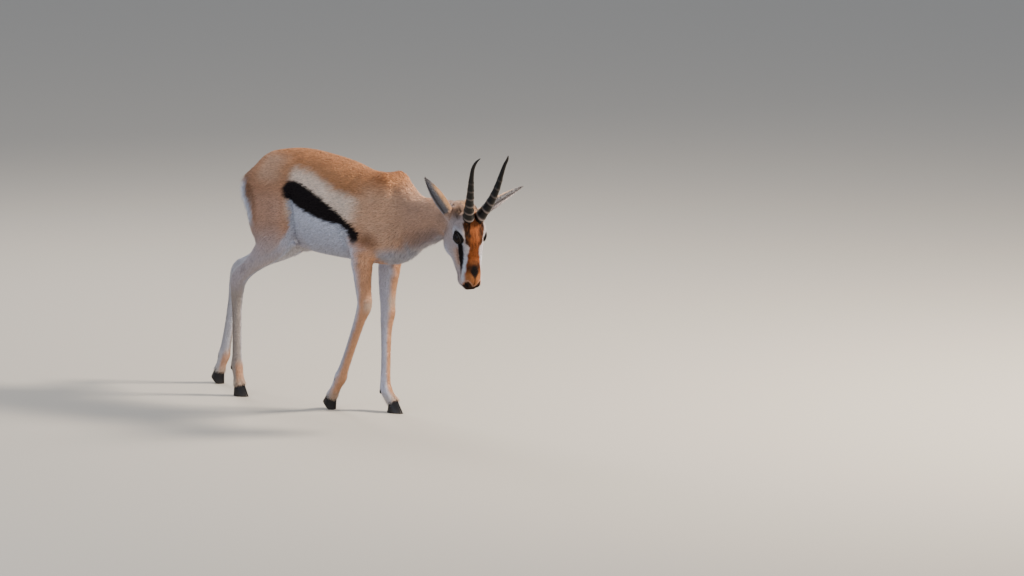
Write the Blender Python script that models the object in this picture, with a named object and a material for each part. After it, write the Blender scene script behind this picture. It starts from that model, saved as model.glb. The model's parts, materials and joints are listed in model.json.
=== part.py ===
"""A young Thomson's gazelle buck, life size, standing with its head lowered and its face upright.

+X is forwards, +Y is the animal's left and +Z is up. It stands on the plane z = 0, and the
origin is the middle of its footprint box. All sizes are in metres.
"""

import math
import random

import bmesh
import bpy
import numpy as np
from mathutils import Matrix, Vector

# Gap that touching pieces keep.
GAP = 0.0003

# Size of the voxels that melt the flesh into one body, and what the melted bodies are thinned to.
BODY_VOXEL = 0.0038
HEAD_VOXEL = 0.0022
BODY_TRIANGLES = 5600
HEAD_TRIANGLES = 2500

SIDES = (("right", -1), ("left", 1))

# The melted body is smoothed most above the legs: a height, a depth of change, and the least.
SOFT_FROM = 0.340
SOFT_OVER = 0.070
SOFT_LEAST = 0.06

# Sections run along a path. Each is a centre, the reach to the front (or top), the reach to the
# back (or bottom), the half width, and how square the front and back halves are: 2 is an ellipse.

# The trunk, from the buttocks to the breast. Its sections are upright, and front means top.
TRUNK = (
    (-0.258, 0.000, 0.505, 0.043, 0.045, 0.024, 2.0, 2.0),
    (-0.240, 0.000, 0.505, 0.073, 0.080, 0.046, 2.0, 2.0),
    (-0.200, 0.000, 0.505, 0.108, 0.100, 0.064, 2.0, 2.0),
    (-0.140, 0.000, 0.500, 0.127, 0.108, 0.073, 2.0, 2.1),
    (-0.080, 0.000, 0.492, 0.141, 0.108, 0.078, 2.0, 2.1),
    (-0.010, 0.000, 0.485, 0.143, 0.108, 0.086, 2.0, 2.1),
    (0.070, 0.000, 0.482, 0.135, 0.108, 0.086, 2.0, 2.1),
    (0.140, 0.000, 0.480, 0.121, 0.108, 0.077, 1.9, 2.0),
    (0.200, 0.000, 0.480, 0.119, 0.108, 0.064, 1.8, 2.0),
    (0.245, 0.000, 0.478, 0.117, 0.098, 0.054, 1.8, 2.0),
    (0.280, 0.000, 0.472, 0.096, 0.072, 0.044, 2.0, 2.0),
    (0.300, 0.000, 0.468, 0.050, 0.036, 0.026, 2.0, 2.0),
)

# The neck, from between the shoulder blades to the back of the skull.
NECK = (
    (0.190, 0.000, 0.500, 0.085, 0.085, 0.046, 2.0, 2.0),
    (0.250, -0.001, 0.490, 0.086, 0.082, 0.048, 2.0, 2.0),
    (0.300, -0.004, 0.491, 0.068, 0.070, 0.043, 2.0, 2.0),
    (0.345, -0.009, 0.499, 0.053, 0.058, 0.037, 2.0, 2.0),
    (0.390, -0.016, 0.508, 0.046, 0.050, 0.034, 2.0, 2.0),
    (0.428, -0.022, 0.514, 0.041, 0.046, 0.032, 2.0, 2.0),
    (0.460, -0.027, 0.517, 0.036, 0.040, 0.029, 2.0, 2.0),
)

# The head has its own axes: along runs from the poll to the nose, front is where the face looks.
HEAD_PLACE = (0.4710, -0.0280, 0.5627)
HEAD_TURN = math.radians(-13)
HEAD_TUCK = math.radians(-7)
HEAD = (
    (0.004, 0.0, -0.010, 0.010, 0.012, 0.014, 2.0, 2.0),
    (0.015, 0.0, -0.004, 0.027, 0.030, 0.029, 2.0, 2.0),
    (0.033, 0.0, 0.003, 0.034, 0.046, 0.0360, 2.1, 2.0),
    (0.055, 0.0, 0.010, 0.035, 0.064, 0.0395, 2.3, 1.9),
    (0.080, 0.0, 0.014, 0.031, 0.079, 0.0400, 2.4, 1.8),
    (0.104, 0.0, 0.014, 0.029, 0.078, 0.0370, 2.4, 1.8),
    (0.130, 0.0, 0.012, 0.028, 0.068, 0.0320, 2.4, 1.8),
    (0.156, 0.0, 0.010, 0.028, 0.052, 0.0270, 2.4, 2.0),
    (0.182, 0.0, 0.009, 0.029, 0.036, 0.0245, 2.4, 2.1),
    (0.203, 0.0, 0.008, 0.026, 0.026, 0.0235, 2.3, 2.1),
    (0.218, 0.0, 0.004, 0.011, 0.012, 0.0135, 2.0, 2.0),
)

# Legs, from inside the body to the top of the hoof: x, y, z, front, back, side.
LEGS = {
    "foreleg_right": (
        (0.200, -0.046, 0.470, 0.034, 0.038, 0.026),
        (0.172, -0.050, 0.420, 0.034, 0.050, 0.026),
        (0.162, -0.050, 0.382, 0.0255, 0.0405, 0.0225),
        (0.160, -0.048, 0.340, 0.0205, 0.0285, 0.0185),
        (0.162, -0.046, 0.305, 0.0170, 0.0250, 0.0168),
        (0.162, -0.045, 0.280, 0.0182, 0.0205, 0.0172),
        (0.158, -0.044, 0.262, 0.0165, 0.0200, 0.0165),
        (0.144, -0.043, 0.230, 0.0114, 0.0175, 0.0125),
        (0.112, -0.041, 0.160, 0.0100, 0.0150, 0.0108),
        (0.087, -0.040, 0.105, 0.0110, 0.0158, 0.0113),
        (0.077, -0.039, 0.084, 0.0134, 0.0190, 0.0136),
        (0.059, -0.037, 0.059, 0.0114, 0.0130, 0.0122),
        (0.042, -0.035, 0.036, 0.0130, 0.0135, 0.0138),
    ),
    "foreleg_left": (
        (0.195, 0.046, 0.450, 0.034, 0.038, 0.026),
        (0.160, 0.050, 0.395, 0.038, 0.036, 0.026),
        (0.155, 0.048, 0.350, 0.0310, 0.0310, 0.0220),
        (0.156, 0.046, 0.300, 0.0190, 0.0290, 0.0175),
        (0.157, 0.045, 0.265, 0.0155, 0.0255, 0.0160),
        (0.157, 0.044, 0.243, 0.0160, 0.0225, 0.0168),
        (0.155, 0.043, 0.225, 0.0138, 0.0200, 0.0158),
        (0.153, 0.042, 0.195, 0.0112, 0.0165, 0.0125),
        (0.152, 0.041, 0.130, 0.0104, 0.0142, 0.0108),
        (0.151, 0.040, 0.075, 0.0118, 0.0142, 0.0115),
        (0.154, 0.039, 0.055, 0.0140, 0.0165, 0.0136),
        (0.168, 0.037, 0.038, 0.0122, 0.0135, 0.0127),
        (0.181, 0.036, 0.025, 0.0135, 0.0145, 0.0145),
    ),
    "hindleg_right": (
        (-0.130, -0.052, 0.480, 0.060, 0.070, 0.036),
        (-0.104, -0.062, 0.424, 0.046, 0.082, 0.032),
        (-0.140, -0.064, 0.382, 0.034, 0.052, 0.0265),
        (-0.184, -0.062, 0.350, 0.0235, 0.0290, 0.0205),
        (-0.224, -0.060, 0.320, 0.0175, 0.0240, 0.0162),
        (-0.252, -0.059, 0.293, 0.0178, 0.0260, 0.0168),
        (-0.261, -0.058, 0.262, 0.0148, 0.0185, 0.0150),
        (-0.264, -0.057, 0.215, 0.0112, 0.0138, 0.0118),
        (-0.266, -0.055, 0.150, 0.0104, 0.0126, 0.0108),
        (-0.268, -0.053, 0.098, 0.0112, 0.0138, 0.0115),
        (-0.268, -0.053, 0.078, 0.0140, 0.0165, 0.0140),
        (-0.265, -0.052, 0.052, 0.0118, 0.0130, 0.0128),
        (-0.262, -0.051, 0.031, 0.0132, 0.0142, 0.0142),
    ),
    "hindleg_left": (
        (-0.150, 0.050, 0.480, 0.060, 0.066, 0.036),
        (-0.170, 0.060, 0.404, 0.044, 0.066, 0.032),
        (-0.225, 0.062, 0.366, 0.034, 0.036, 0.0260),
        (-0.281, 0.061, 0.338, 0.0255, 0.0265, 0.0205),
        (-0.331, 0.060, 0.313, 0.0185, 0.0230, 0.0160),
        (-0.367, 0.059, 0.291, 0.0182, 0.0258, 0.0168),
        (-0.382, 0.058, 0.260, 0.0158, 0.0178, 0.0150),
        (-0.390, 0.057, 0.218, 0.0130, 0.0136, 0.0118),
        (-0.402, 0.055, 0.150, 0.0128, 0.0126, 0.0108),
        (-0.413, 0.053, 0.096, 0.0138, 0.0136, 0.0115),
        (-0.417, 0.052, 0.074, 0.0150, 0.0165, 0.0140),
        (-0.424, 0.051, 0.054, 0.0120, 0.0130, 0.0128),
        (-0.431, 0.050, 0.036, 0.0128, 0.0138, 0.0140),
    ),
}
LEG_ENDS = 0.010

# Muscles and bony points that stand out of the tubes, for the right side: centre, half sizes and
# rotation in degrees. The left side mirrors them.
TRUNK_LUMPS = (
    ((0.212, -0.027, 0.574), (0.034, 0.019, 0.031), (0, 10, 0)),
    ((0.200, -0.039, 0.500), (0.042, 0.025, 0.084), (0, 20, 0)),
    ((0.240, -0.042, 0.440), (0.040, 0.023, 0.048), (0, 0, 0)),
    ((0.182, -0.048, 0.436), (0.062, 0.026, 0.046), (0, 20, 0)),
    ((-0.095, -0.040, 0.580), (0.038, 0.024, 0.030), (0, 0, 0)),
    ((-0.188, -0.042, 0.520), (0.064, 0.034, 0.066), (0, -15, 0)),
    ((-0.146, -0.056, 0.460), (0.076, 0.034, 0.098), (0, -12, 0)),
)

# The same in the head's axes: along, left, front. Brow, cheek, horn root, ear root, nose and lips.
HEAD_LUMPS = (
    ((0.078, -0.029, 0.020), (0.028, 0.014, 0.022), (0, 0, 0)),
    ((0.100, -0.022, -0.022), (0.038, 0.016, 0.033), (0, 20, 0)),
    ((0.050, -0.018, 0.030), (0.020, 0.016, 0.019), (0, 0, 0)),
    ((0.040, -0.026, -0.008), (0.020, 0.014, 0.018), (0, 0, 0)),
    ((0.023, -0.008, -0.002), (0.020, 0.020, 0.025), (0, 0, 0)),
    ((0.197, -0.011, 0.021), (0.018, 0.011, 0.012), (0, 0, 0)),
    ((0.193, -0.011, 0.002), (0.020, 0.012, 0.013), (0, 0, 0)),
    ((0.190, -0.005, -0.016), (0.020, 0.013, 0.011), (0, 0, 0)),
)

# Planes that part the flesh: a point and the way that the plane faces.
LEG_PLANE = ((0.0, 0.0, 0.362), (0, 0, -1))
NECK_PLANE = ((0.296, -0.004, 0.490), (0.970, -0.080, 0.230))
HEAD_CUT = ((0.409, -0.019, 0.511), (0.975, -0.170, 0.110))
JOINTS = {
    "foreleg_right": (0.162, -0.045, 0.280),
    "foreleg_left": (0.157, 0.044, 0.243),
    "hindleg_right": (-0.252, -0.059, 0.290),
    "hindleg_left": (-0.369, 0.059, 0.288),
}

# Hooves. Sole points are the toe tip and the heel on or above the floor.
HOOVES = {
    "foreleg_right": ((0.050, -0.035, 0.0), (0.017, -0.033, 0.021)),
    "foreleg_left": ((0.214, 0.033, 0.0), (0.167, 0.036, 0.0)),
    "hindleg_right": ((-0.236, -0.048, 0.0), (-0.276, -0.051, 0.0)),
    "hindleg_left": ((-0.418, 0.048, 0.0), (-0.452, 0.050, 0.018)),
}

# Eyes, in the head's axes. The long way of the opening leans from along towards the front.
EYE_PLACE = (0.0905, 0.0310, 0.0220)
EYE_WAY = (0.04, 0.93, 0.35)
EYE_RADIUS = 0.0145
LID = 0.0018
EYE_OPENING = (0.0135, 0.0098)
EYE_SLANT = math.radians(20)

# Nostrils, and the line of the mouth from the right corner to the middle, in the head's axes.
NOSTRIL = ((0.2090, 0.0160, 0.0210), (0.0072, 0.0034, 0.0036), (0, 0, 28))
MOUTH = (
    (0.172, -0.026, -0.004),
    (0.184, -0.026, -0.007),
    (0.197, -0.024, -0.009),
    (0.210, -0.018, -0.010),
    (0.222, -0.009, -0.010),
    (0.226, 0.000, -0.010),
)
MOUTH_GROOVE = 0.0012

# Horns: the centre line of the right one in the head's axes, with its radius, from root to tip.
HORN = (
    # along, left, front, radius
    (0.050, -0.0155, 0.0310, 0.0138),
    (0.042, -0.0178, 0.0460, 0.0141),
    (0.030, -0.0228, 0.0575, 0.0128),
    (0.0160, -0.0285, 0.0695, 0.0110),
    (-0.006, -0.0344, 0.0850, 0.0093),
    (-0.030, -0.0393, 0.0982, 0.0077),
    (-0.053, -0.0428, 0.1090, 0.0060),
    (-0.076, -0.0453, 0.1220, 0.0046),
    (-0.0910, -0.0450, 0.1370, 0.0032),
    (-0.100, -0.0405, 0.1490, 0.0012),
)
HORN_RINGS = 6
RING_HEIGHT = 0.0014

# Ears: root, tip and the way that the back of the cup faces, in the head's axes.
EARS = {
    "right": ((0.045, -0.029, -0.004), (-0.059, -0.106, 0.003), (-0.10, -0.40, 0.90)),
    "left": ((0.045, 0.029, -0.004), (-0.020, 0.136, 0.060), (-0.75, -0.60, 0.25)),
}
EAR_SHAPE = (
    # how far along, half width, how far round the cup goes in degrees
    (0.00, 0.0115, 165),
    (0.12, 0.0126, 150),
    (0.28, 0.0142, 122),
    (0.45, 0.0150, 104),
    (0.62, 0.0136, 90),
    (0.78, 0.0100, 78),
    (0.90, 0.0060, 64),
    (1.00, 0.0016, 50),
)
EAR_FLATNESS = 0.62
EAR_THICKNESS = 0.0022

# The tail hangs close behind the thighs and bends in between them.
TAIL = (
    (-0.225, 0.000, 0.560, 0.0120, 0.0120, 0.0150),
    (-0.248, 0.001, 0.555, 0.0105, 0.0105, 0.0125),
    (-0.270, 0.004, 0.534, 0.0070, 0.0075, 0.0090),
    (-0.275, 0.008, 0.505, 0.0060, 0.0065, 0.0085),
    (-0.272, 0.012, 0.462, 0.0055, 0.0060, 0.0085),
    (-0.263, 0.014, 0.425, 0.0045, 0.0050, 0.0070),
    (-0.256, 0.015, 0.398, 0.0016, 0.0016, 0.0022),
)

# Tail hair: rows of flat locks, from and to a share of the tail's length, each with a length, a
# half width and half a thickness. Its shape is how far along, how far out and how wide.
LOCK_SEED = 8
LOCK_ROWS = 6
LOCKS_ROUND = 4
LOCK_FROM = 0.36
LOCK_TO = 0.90
LOCK_LENGTH = 0.046
LOCK_WIDTH = 0.0050
LOCK_THICKNESS = 0.0013
LOCK_SHAPE = ((0.0, 0.30, 0.60), (0.45, 1.02, 1.00), (1.0, 1.25, 0.12))

# Dewclaws: which section of a leg is its fetlock, how far they stand from the middle, their size.
FETLOCK = 10
DEWCLAW_OUT = 0.0075
DEWCLAW = (0.0044, 0.0040, 0.0074)

COLOURS = {
    "coat": (0.42, 0.24, 0.12),
    "face": (0.40, 0.30, 0.22),
    "ear": (0.36, 0.30, 0.25),
    "leg": (0.52, 0.38, 0.26),
    "tail": (0.03, 0.022, 0.018),
    "horn": (0.035, 0.030, 0.028),
    "hoof": (0.030, 0.028, 0.027),
    "eye": (0.012, 0.008, 0.006),
}


def smooth_rows(rows, steps):
    """Rows of numbers with more rows between them, along a smooth curve through each column."""
    rows = np.array(rows, float)
    ends = np.vstack([2 * rows[0] - rows[1], rows, 2 * rows[-1] - rows[-2]])
    out = []
    for k in range(1, len(ends) - 2):
        a, b, c, d = ends[k - 1 : k + 3]
        for t in np.arange(steps) / steps:
            out.append(
                0.5 * (2 * b + (c - a) * t + (2 * a - 5 * b + 4 * c - d) * t**2
                       + (3 * b - a - 3 * c + d) * t**3)
            )
    return np.array(out + [rows[-1]])


def tube(sections, front, sides=24, steps=5, upright=None):
    """A closed tube through sections, as vertices and faces. front is the way that its front half
    faces, and upright, if given, is the direction that every section's plane is square to."""
    rows = smooth_rows(sections, steps)
    centres = rows[:, :3]
    ways = np.gradient(centres, axis=0)
    front = np.array(front, float)
    angles = np.arange(sides) * 2 * math.pi / sides
    verts, faces = [], []
    for row, centre, way in zip(rows, centres, ways):
        way = np.array(upright, float) if upright is not None else way
        way = way / np.linalg.norm(way)
        up = front - way * (front @ way)
        up /= np.linalg.norm(up)
        across = np.cross(way, up)
        reach_up, reach_down, side = np.maximum(row[3:6], 0.0008)
        squares = row[6:8] if len(row) > 6 else (2.0, 2.0)
        for angle in angles:
            c, s = math.cos(angle), math.sin(angle)
            power = 2 / (squares[0] if s >= 0 else squares[1])
            high = abs(s) ** power * (reach_up if s >= 0 else -reach_down)
            wide = math.copysign(abs(c) ** power, c) * side
            verts.append(centre + up * high + across * wide)
    for ring in range(len(rows) - 1):
        for k in range(sides):
            a, b = ring * sides + k, ring * sides + (k + 1) % sides
            faces.append((a, b, b + sides, a + sides))
    last = (len(rows) - 1) * sides
    faces.append(tuple(range(sides))[::-1])
    faces.append(tuple(last + k for k in range(sides)))
    return verts, faces


def add_object(name, verts, faces):
    """A mesh object with its faces turned outwards."""
    mesh = bpy.data.meshes.new(name)
    mesh.from_pydata([tuple(v) for v in verts], [], faces)
    obj = bpy.data.objects.new(name, mesh)
    bpy.context.scene.collection.objects.link(obj)
    bm = bmesh.new()
    bm.from_mesh(mesh)
    bmesh.ops.recalc_face_normals(bm, faces=bm.faces)
    bm.to_mesh(mesh)
    bm.free()
    return obj


def ball(name, centre, reach, turn=(0, 0, 0), place=None, detail=3):
    """A stretched ball: reach is its half sizes, and turn its rotation in degrees."""
    bm = bmesh.new()
    bmesh.ops.create_icosphere(bm, subdivisions=detail, radius=1.0)
    spin = Matrix.Identity(4)
    for axis, angle in zip("XYZ", turn):
        spin = Matrix.Rotation(math.radians(angle), 4, axis) @ spin
    whole = Matrix.Translation(centre) @ spin @ Matrix.Diagonal((*reach, 1))
    if place is not None:
        whole = place @ whole
    bmesh.ops.transform(bm, matrix=whole, verts=bm.verts)
    if whole.determinant() < 0:
        bmesh.ops.reverse_faces(bm, faces=bm.faces)
    mesh = bpy.data.meshes.new(name)
    bm.to_mesh(mesh)
    bm.free()
    obj = bpy.data.objects.new(name, mesh)
    bpy.context.scene.collection.objects.link(obj)
    return obj


def head_matrix():
    """From the head's own axes (along, left, front) to the world."""
    ahead = Vector((math.cos(HEAD_TURN), math.sin(HEAD_TURN), 0))
    up = Vector((0, 0, 1))
    front = ahead * math.cos(HEAD_TUCK) - up * math.sin(HEAD_TUCK)
    along = -ahead * math.sin(HEAD_TUCK) - up * math.cos(HEAD_TUCK)
    left = up.cross(ahead)
    place = Matrix((along, left, front)).transposed().to_4x4()
    place.translation = HEAD_PLACE
    return place


def apply_modifier(obj):
    """Bakes the object's modifiers into its mesh."""
    graph = bpy.context.evaluated_depsgraph_get()
    mesh = bpy.data.meshes.new_from_object(obj.evaluated_get(graph))
    obj.modifiers.clear()
    old = obj.data
    obj.data = mesh
    bpy.data.meshes.remove(old)


def join(objects, name):
    """One object from several, which are used up."""
    bm = bmesh.new()
    for obj in objects:
        bm.from_mesh(obj.data)
        bpy.data.objects.remove(obj)
    mesh = bpy.data.meshes.new(name)
    bm.to_mesh(mesh)
    bm.free()
    obj = bpy.data.objects.new(name, mesh)
    bpy.context.scene.collection.objects.link(obj)
    return obj


def melt(objects, name, voxel, rounds, triangles):
    """One closed skin around overlapping shapes, smoothed and thinned."""
    obj = join(objects, name)
    remesh = obj.modifiers.new("melt", "REMESH")
    remesh.mode = "VOXEL"
    remesh.voxel_size = voxel
    apply_modifier(obj)
    soft = obj.vertex_groups.new(name="soft")
    for vert in obj.data.vertices:
        soft.add([vert.index], min(max((vert.co.z - SOFT_FROM) / SOFT_OVER, SOFT_LEAST), 1), "ADD")
    smooth = obj.modifiers.new("smooth", "SMOOTH")
    smooth.iterations = rounds
    smooth.factor = 0.5
    smooth.vertex_group = "soft"
    apply_modifier(obj)
    obj.vertex_groups.clear()
    triangulate(obj)
    thin = obj.modifiers.new("thin", "DECIMATE")
    thin.ratio = triangles / len(obj.data.polygons)
    apply_modifier(obj)
    return obj


def triangulate(obj):
    bm = bmesh.new()
    bm.from_mesh(obj.data)
    bmesh.ops.triangulate(bm, faces=bm.faces)
    bm.to_mesh(obj.data)
    bm.free()


def copy_of(obj, name):
    other = bpy.data.objects.new(name, obj.data.copy())
    bpy.context.scene.collection.objects.link(other)
    return other


def cut_away(obj, point, way):
    """Cuts off what lies past a plane, on the side that the plane faces, and closes the cut."""
    bm = bmesh.new()
    bm.from_mesh(obj.data)
    bmesh.ops.bisect_plane(
        bm, geom=bm.verts[:] + bm.edges[:] + bm.faces[:], dist=0.00001,
        plane_co=Vector(point), plane_no=Vector(way).normalized(), clear_outer=True,
    )
    rim = [edge for edge in bm.edges if edge.is_boundary]
    caps = bmesh.ops.holes_fill(bm, edges=rim, sides=0)["faces"]
    bmesh.ops.triangulate(bm, faces=caps)
    bmesh.ops.recalc_face_normals(bm, faces=bm.faces)
    bm.to_mesh(obj.data)
    bm.free()


def part_at(obj, point, way, name):
    """Parts an object at a plane: obj keeps what is behind it, and what is past it is a new
    object. Half of the gap is taken from each."""
    point, way = Vector(point), Vector(way).normalized()
    other = copy_of(obj, name)
    cut_away(obj, point - way * GAP / 2, way)
    cut_away(other, point + way * GAP / 2, -way)
    return other


def islands(obj, names):
    """Parts an object into its islands. names is a function from an island's centre to its name."""
    bm = bmesh.new()
    bm.from_mesh(obj.data)
    left = set(bm.verts)
    groups = []
    while left:
        seed = left.pop()
        group, edge = {seed}, [seed]
        while edge:
            vert = edge.pop()
            for link in vert.link_edges:
                near = link.other_vert(vert)
                if near in left:
                    left.discard(near)
                    group.add(near)
                    edge.append(near)
        groups.append(group)
    found = []
    for group in groups:
        order = {vert: k for k, vert in enumerate(group)}
        verts = [vert.co.copy() for vert in order]
        faces = [tuple(order[v] for v in f.verts) for f in bm.faces if f.verts[0] in group]
        centre = sum(verts, Vector()) / len(verts)
        found.append(add_object(names(centre), verts, faces))
    bm.free()
    bpy.data.objects.remove(obj)
    return found


def grown(obj, by):
    """A copy of an object with its skin moved outwards."""
    other = copy_of(obj, obj.name + "_grown")
    bm = bmesh.new()
    bm.from_mesh(other.data)
    bm.normal_update()
    moves = [vert.normal * by for vert in bm.verts]
    for vert, move in zip(bm.verts, moves):
        vert.co += move
    bm.to_mesh(other.data)
    bm.free()
    return other


def combine(obj, tool, operation, solver="EXACT"):
    """A Boolean operation with a tool, which is used up."""
    change = obj.modifiers.new("combine", "BOOLEAN")
    change.operation = operation
    change.object = tool
    change.solver = solver
    tool.hide_render = True
    tool.display_type = "WIRE"
    apply_modifier(obj)
    bpy.data.objects.remove(tool)


def fuse(obj, pieces):
    """Joins closed pieces to an object by one union. The pieces are used up."""
    triangulate(obj)
    group = bpy.data.collections.new(obj.name + "_pieces")
    for piece in pieces:
        triangulate(piece)
        group.objects.link(piece)
        piece.hide_render = True
        piece.display_type = "WIRE"
    change = obj.modifiers.new("fuse", "BOOLEAN")
    change.operation = "UNION"
    change.operand_type = "COLLECTION"
    change.collection = group
    change.solver = "EXACT"
    apply_modifier(obj)
    for piece in pieces:
        bpy.data.objects.remove(piece)
    bpy.data.collections.remove(group)


def keep_largest(obj):
    """Keeps only the largest closed surface of an object."""
    name = obj.name
    obj.name = name + "_whole"
    pieces = islands(obj, lambda centre: name + "_piece")
    pieces.sort(key=lambda piece: -len(piece.data.polygons))
    for piece in pieces[1:]:
        bpy.data.objects.remove(piece)
    pieces[0].name = name
    return pieces[0]


def body():
    """The flesh without the head: one skin around the trunk, the neck and the legs."""
    shapes = [
        add_object("trunk", *tube(TRUNK, (0, 0, 1), 32, 4, upright=(1, 0, 0))),
        add_object("neck_core", *tube(NECK, (0, 0, 1), 28, 4)),
    ]
    for name, sections in LEGS.items():
        end = np.array(sections[-1])
        way = end[:3] - np.array(sections[-2][:3])
        way /= np.linalg.norm(way)
        longer = sections + ((*(end[:3] + way * LEG_ENDS), *end[3:]),)
        shapes.append(add_object(name + "_core", *tube(longer, (1, 0, 0), 20, 4)))
    for centre, reach, turn in TRUNK_LUMPS:
        for side, sign in SIDES:
            mirrored = (turn[0] * -sign, turn[1], turn[2] * -sign)
            place = (centre[0], -sign * centre[1], centre[2])
            shapes.append(ball("lump", place, reach, mirrored))
    return melt(shapes, "body", BODY_VOXEL, 40, BODY_TRIANGLES)


def head_flesh():
    """The head with the end of the neck."""
    place = head_matrix()
    verts, faces = tube(HEAD, (0, 0, 1), 28, 4, upright=(1, 0, 0))
    shapes = [
        add_object("skull", [place @ Vector(v) for v in verts], faces),
        add_object("neck_end", *tube(NECK[3:], (0, 0, 1), 28, 4)),
    ]
    for centre, reach, turn in HEAD_LUMPS:
        for side, sign in SIDES:
            mirrored = (turn[0] * -sign, turn[1], turn[2] * -sign)
            spot = (centre[0], -sign * centre[1], centre[2])
            shapes.append(ball("lump", spot, reach, mirrored, place))
    return melt(shapes, "head", HEAD_VOXEL, 9, HEAD_TRIANGLES)


def eye_frame(sign):
    """Axes at an eye: the long way of the opening, the short way, and the way it looks."""
    place = head_matrix()
    look = (place.to_3x3() @ Vector((EYE_WAY[0], sign * EYE_WAY[1], EYE_WAY[2]))).normalized()
    along = place.to_3x3() @ Vector((1, 0, 0))
    front = place.to_3x3() @ Vector((0, 0, 1))
    long = along * math.cos(EYE_SLANT) + front * math.sin(EYE_SLANT)
    long = (long - look * long.dot(look)).normalized()
    short = look.cross(long)
    frame = Matrix((long, short, look)).transposed().to_4x4()
    frame.translation = place @ Vector((EYE_PLACE[0], sign * EYE_PLACE[1], EYE_PLACE[2]))
    return frame


def open_eyes(head):
    """Puts lids on the head and cuts the sockets, and returns the eyeballs."""
    eyes = []
    for side, sign in SIDES:
        frame = eye_frame(sign)
        lid = ball("lid", (0, 0, 0), (EYE_RADIUS + GAP + LID,) * 3, (0, 0, 0), frame, 2)
        combine(head, lid, "UNION")
        slot = ball("slot", (0, 0, EYE_RADIUS), (*EYE_OPENING, EYE_RADIUS * 0.9), (0, 0, 0), frame)
        combine(head, slot, "DIFFERENCE")
        socket = ball("socket", (0, 0, 0), (EYE_RADIUS + GAP * 1.5,) * 3, (0, 0, 0), frame)
        combine(head, socket, "DIFFERENCE")
        eyes.append(ball("eye_" + side, (0, 0, 0), (EYE_RADIUS,) * 3, (0, 0, 0), frame))
    return eyes


def open_mouth(head):
    """Cuts the nostrils and the line of the mouth."""
    place = head_matrix()
    for side, sign in SIDES:
        centre, reach, turn = NOSTRIL
        spot = (centre[0], sign * centre[1], centre[2])
        mirrored = (turn[0] * sign, turn[1], turn[2] * sign)
        combine(head, ball("nostril", spot, reach, mirrored, place, 2), "DIFFERENCE")
    points = [Vector(point) for point in MOUTH]
    points += [Vector((a, -b, c)) for a, b, c in reversed(MOUTH[:-1])]
    sections = []
    for row in smooth_rows([tuple(point) for point in points], 2):
        found, spot, normal, face = head.closest_point_on_mesh(place @ Vector(row))
        sections.append((*spot, MOUTH_GROOVE, MOUTH_GROOVE, MOUTH_GROOVE))
    front = place.to_3x3() @ Vector((0, 0.1, 1))
    combine(head, add_object("groove", *tube(sections, front, 6, 1)), "DIFFERENCE")


def horn(side, sign):
    """A ringed horn."""
    rows = smooth_rows(HORN, 8)
    place = head_matrix()
    centres = np.array([place @ Vector((row[0], -sign * row[1], row[2])) for row in rows])
    lengths = np.concatenate([[0], np.cumsum(np.linalg.norm(np.diff(centres, axis=0), axis=1))])
    total = lengths[-1]
    marks = []
    ringed = total * 0.62
    start = total * 0.10
    for k in range(HORN_RINGS):
        middle = start + (ringed - start) * k / (HORN_RINGS - 1)
        height = RING_HEIGHT * (1 - 0.55 * k / (HORN_RINGS - 1))
        marks += [(middle - 0.0042, 0.0), (middle, height), (middle + 0.0042, 0.0)]
    marks = [(0.0, 0.0)] + marks
    marks += [(total * f, 0.0) for f in (0.72, 0.82, 0.90, 0.96, 1.0)]
    sections = []
    for at, extra in marks:
        centre = [np.interp(at, lengths, centres[:, k]) for k in range(3)]
        radius = np.interp(at, lengths, rows[:, 3]) + extra
        sections.append((*centre, radius * 1.06, radius * 1.06, radius * 0.94))
    front = place.to_3x3() @ Vector((0, 0, 1))
    return add_object("horn_" + side, *tube(sections, front, 10, 1))


def ear(side):
    """A cupped ear: the outer skin, the inner skin and the rim between them."""
    root, tip, back = EARS[side]
    place = head_matrix()
    turn = place.to_3x3()
    root, tip = place @ Vector(root), place @ Vector(tip)
    way = (tip - root).normalized()
    back = turn @ Vector(back)
    back = (back - way * back.dot(way)).normalized()
    wide = way.cross(back)
    steps = 8
    rows = smooth_rows(EAR_SHAPE, 2)
    length = (tip - root).length
    skins = []
    for thin in (0.0, EAR_THICKNESS):
        skin = []
        for far, width, around in rows:
            # A narrow cup is bent round more, so its radius follows from the width.
            half = math.radians(min(around, 165))
            radius = width / (math.sin(half) if half < math.pi / 2 else 1.0)
            centre = root + way * length * far + back * (math.sin(far * math.pi) * 0.004)
            shell = max(radius - min(thin, width * 0.6), 0.0004)
            for k in range(steps + 1):
                angle = half * (2 * k / steps - 1)
                up = (shell * math.cos(angle) - radius * 0.45) * EAR_FLATNESS
                skin.append(centre + wide * shell * math.sin(angle) + back * up)
        skins.append(skin)
    count, around = len(rows), steps + 1
    verts = skins[0] + skins[1]
    shift = count * around
    faces = []
    for ring in range(count - 1):
        for k in range(steps):
            a = ring * around + k
            faces.append((a, a + 1, a + 1 + around, a + around))
            faces.append((a + shift, a + around + shift, a + 1 + around + shift, a + 1 + shift))
        for k in (0, steps):
            a = ring * around + k
            faces.append((a, a + around, a + around + shift, a + shift))
    for k in range(steps):
        faces.append((k, k + 1, k + 1 + shift, k + shift))
        a = (count - 1) * around + k
        faces.append((a, a + 1, a + 1 + shift, a + shift))
    return add_object("ear_" + side, verts, faces)


def dewclaws(name):
    """Two small claws behind a fetlock, set into the leg."""
    row = LEGS[name][FETLOCK]
    claws = []
    for side, sign in SIDES:
        spot = (row[0] - row[4] * 0.62, row[1] + sign * DEWCLAW_OUT, row[2] - 0.006)
        claws.append(ball("dewclaw", spot, DEWCLAW, (0, 14, 0), None, 2))
    return claws


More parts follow.
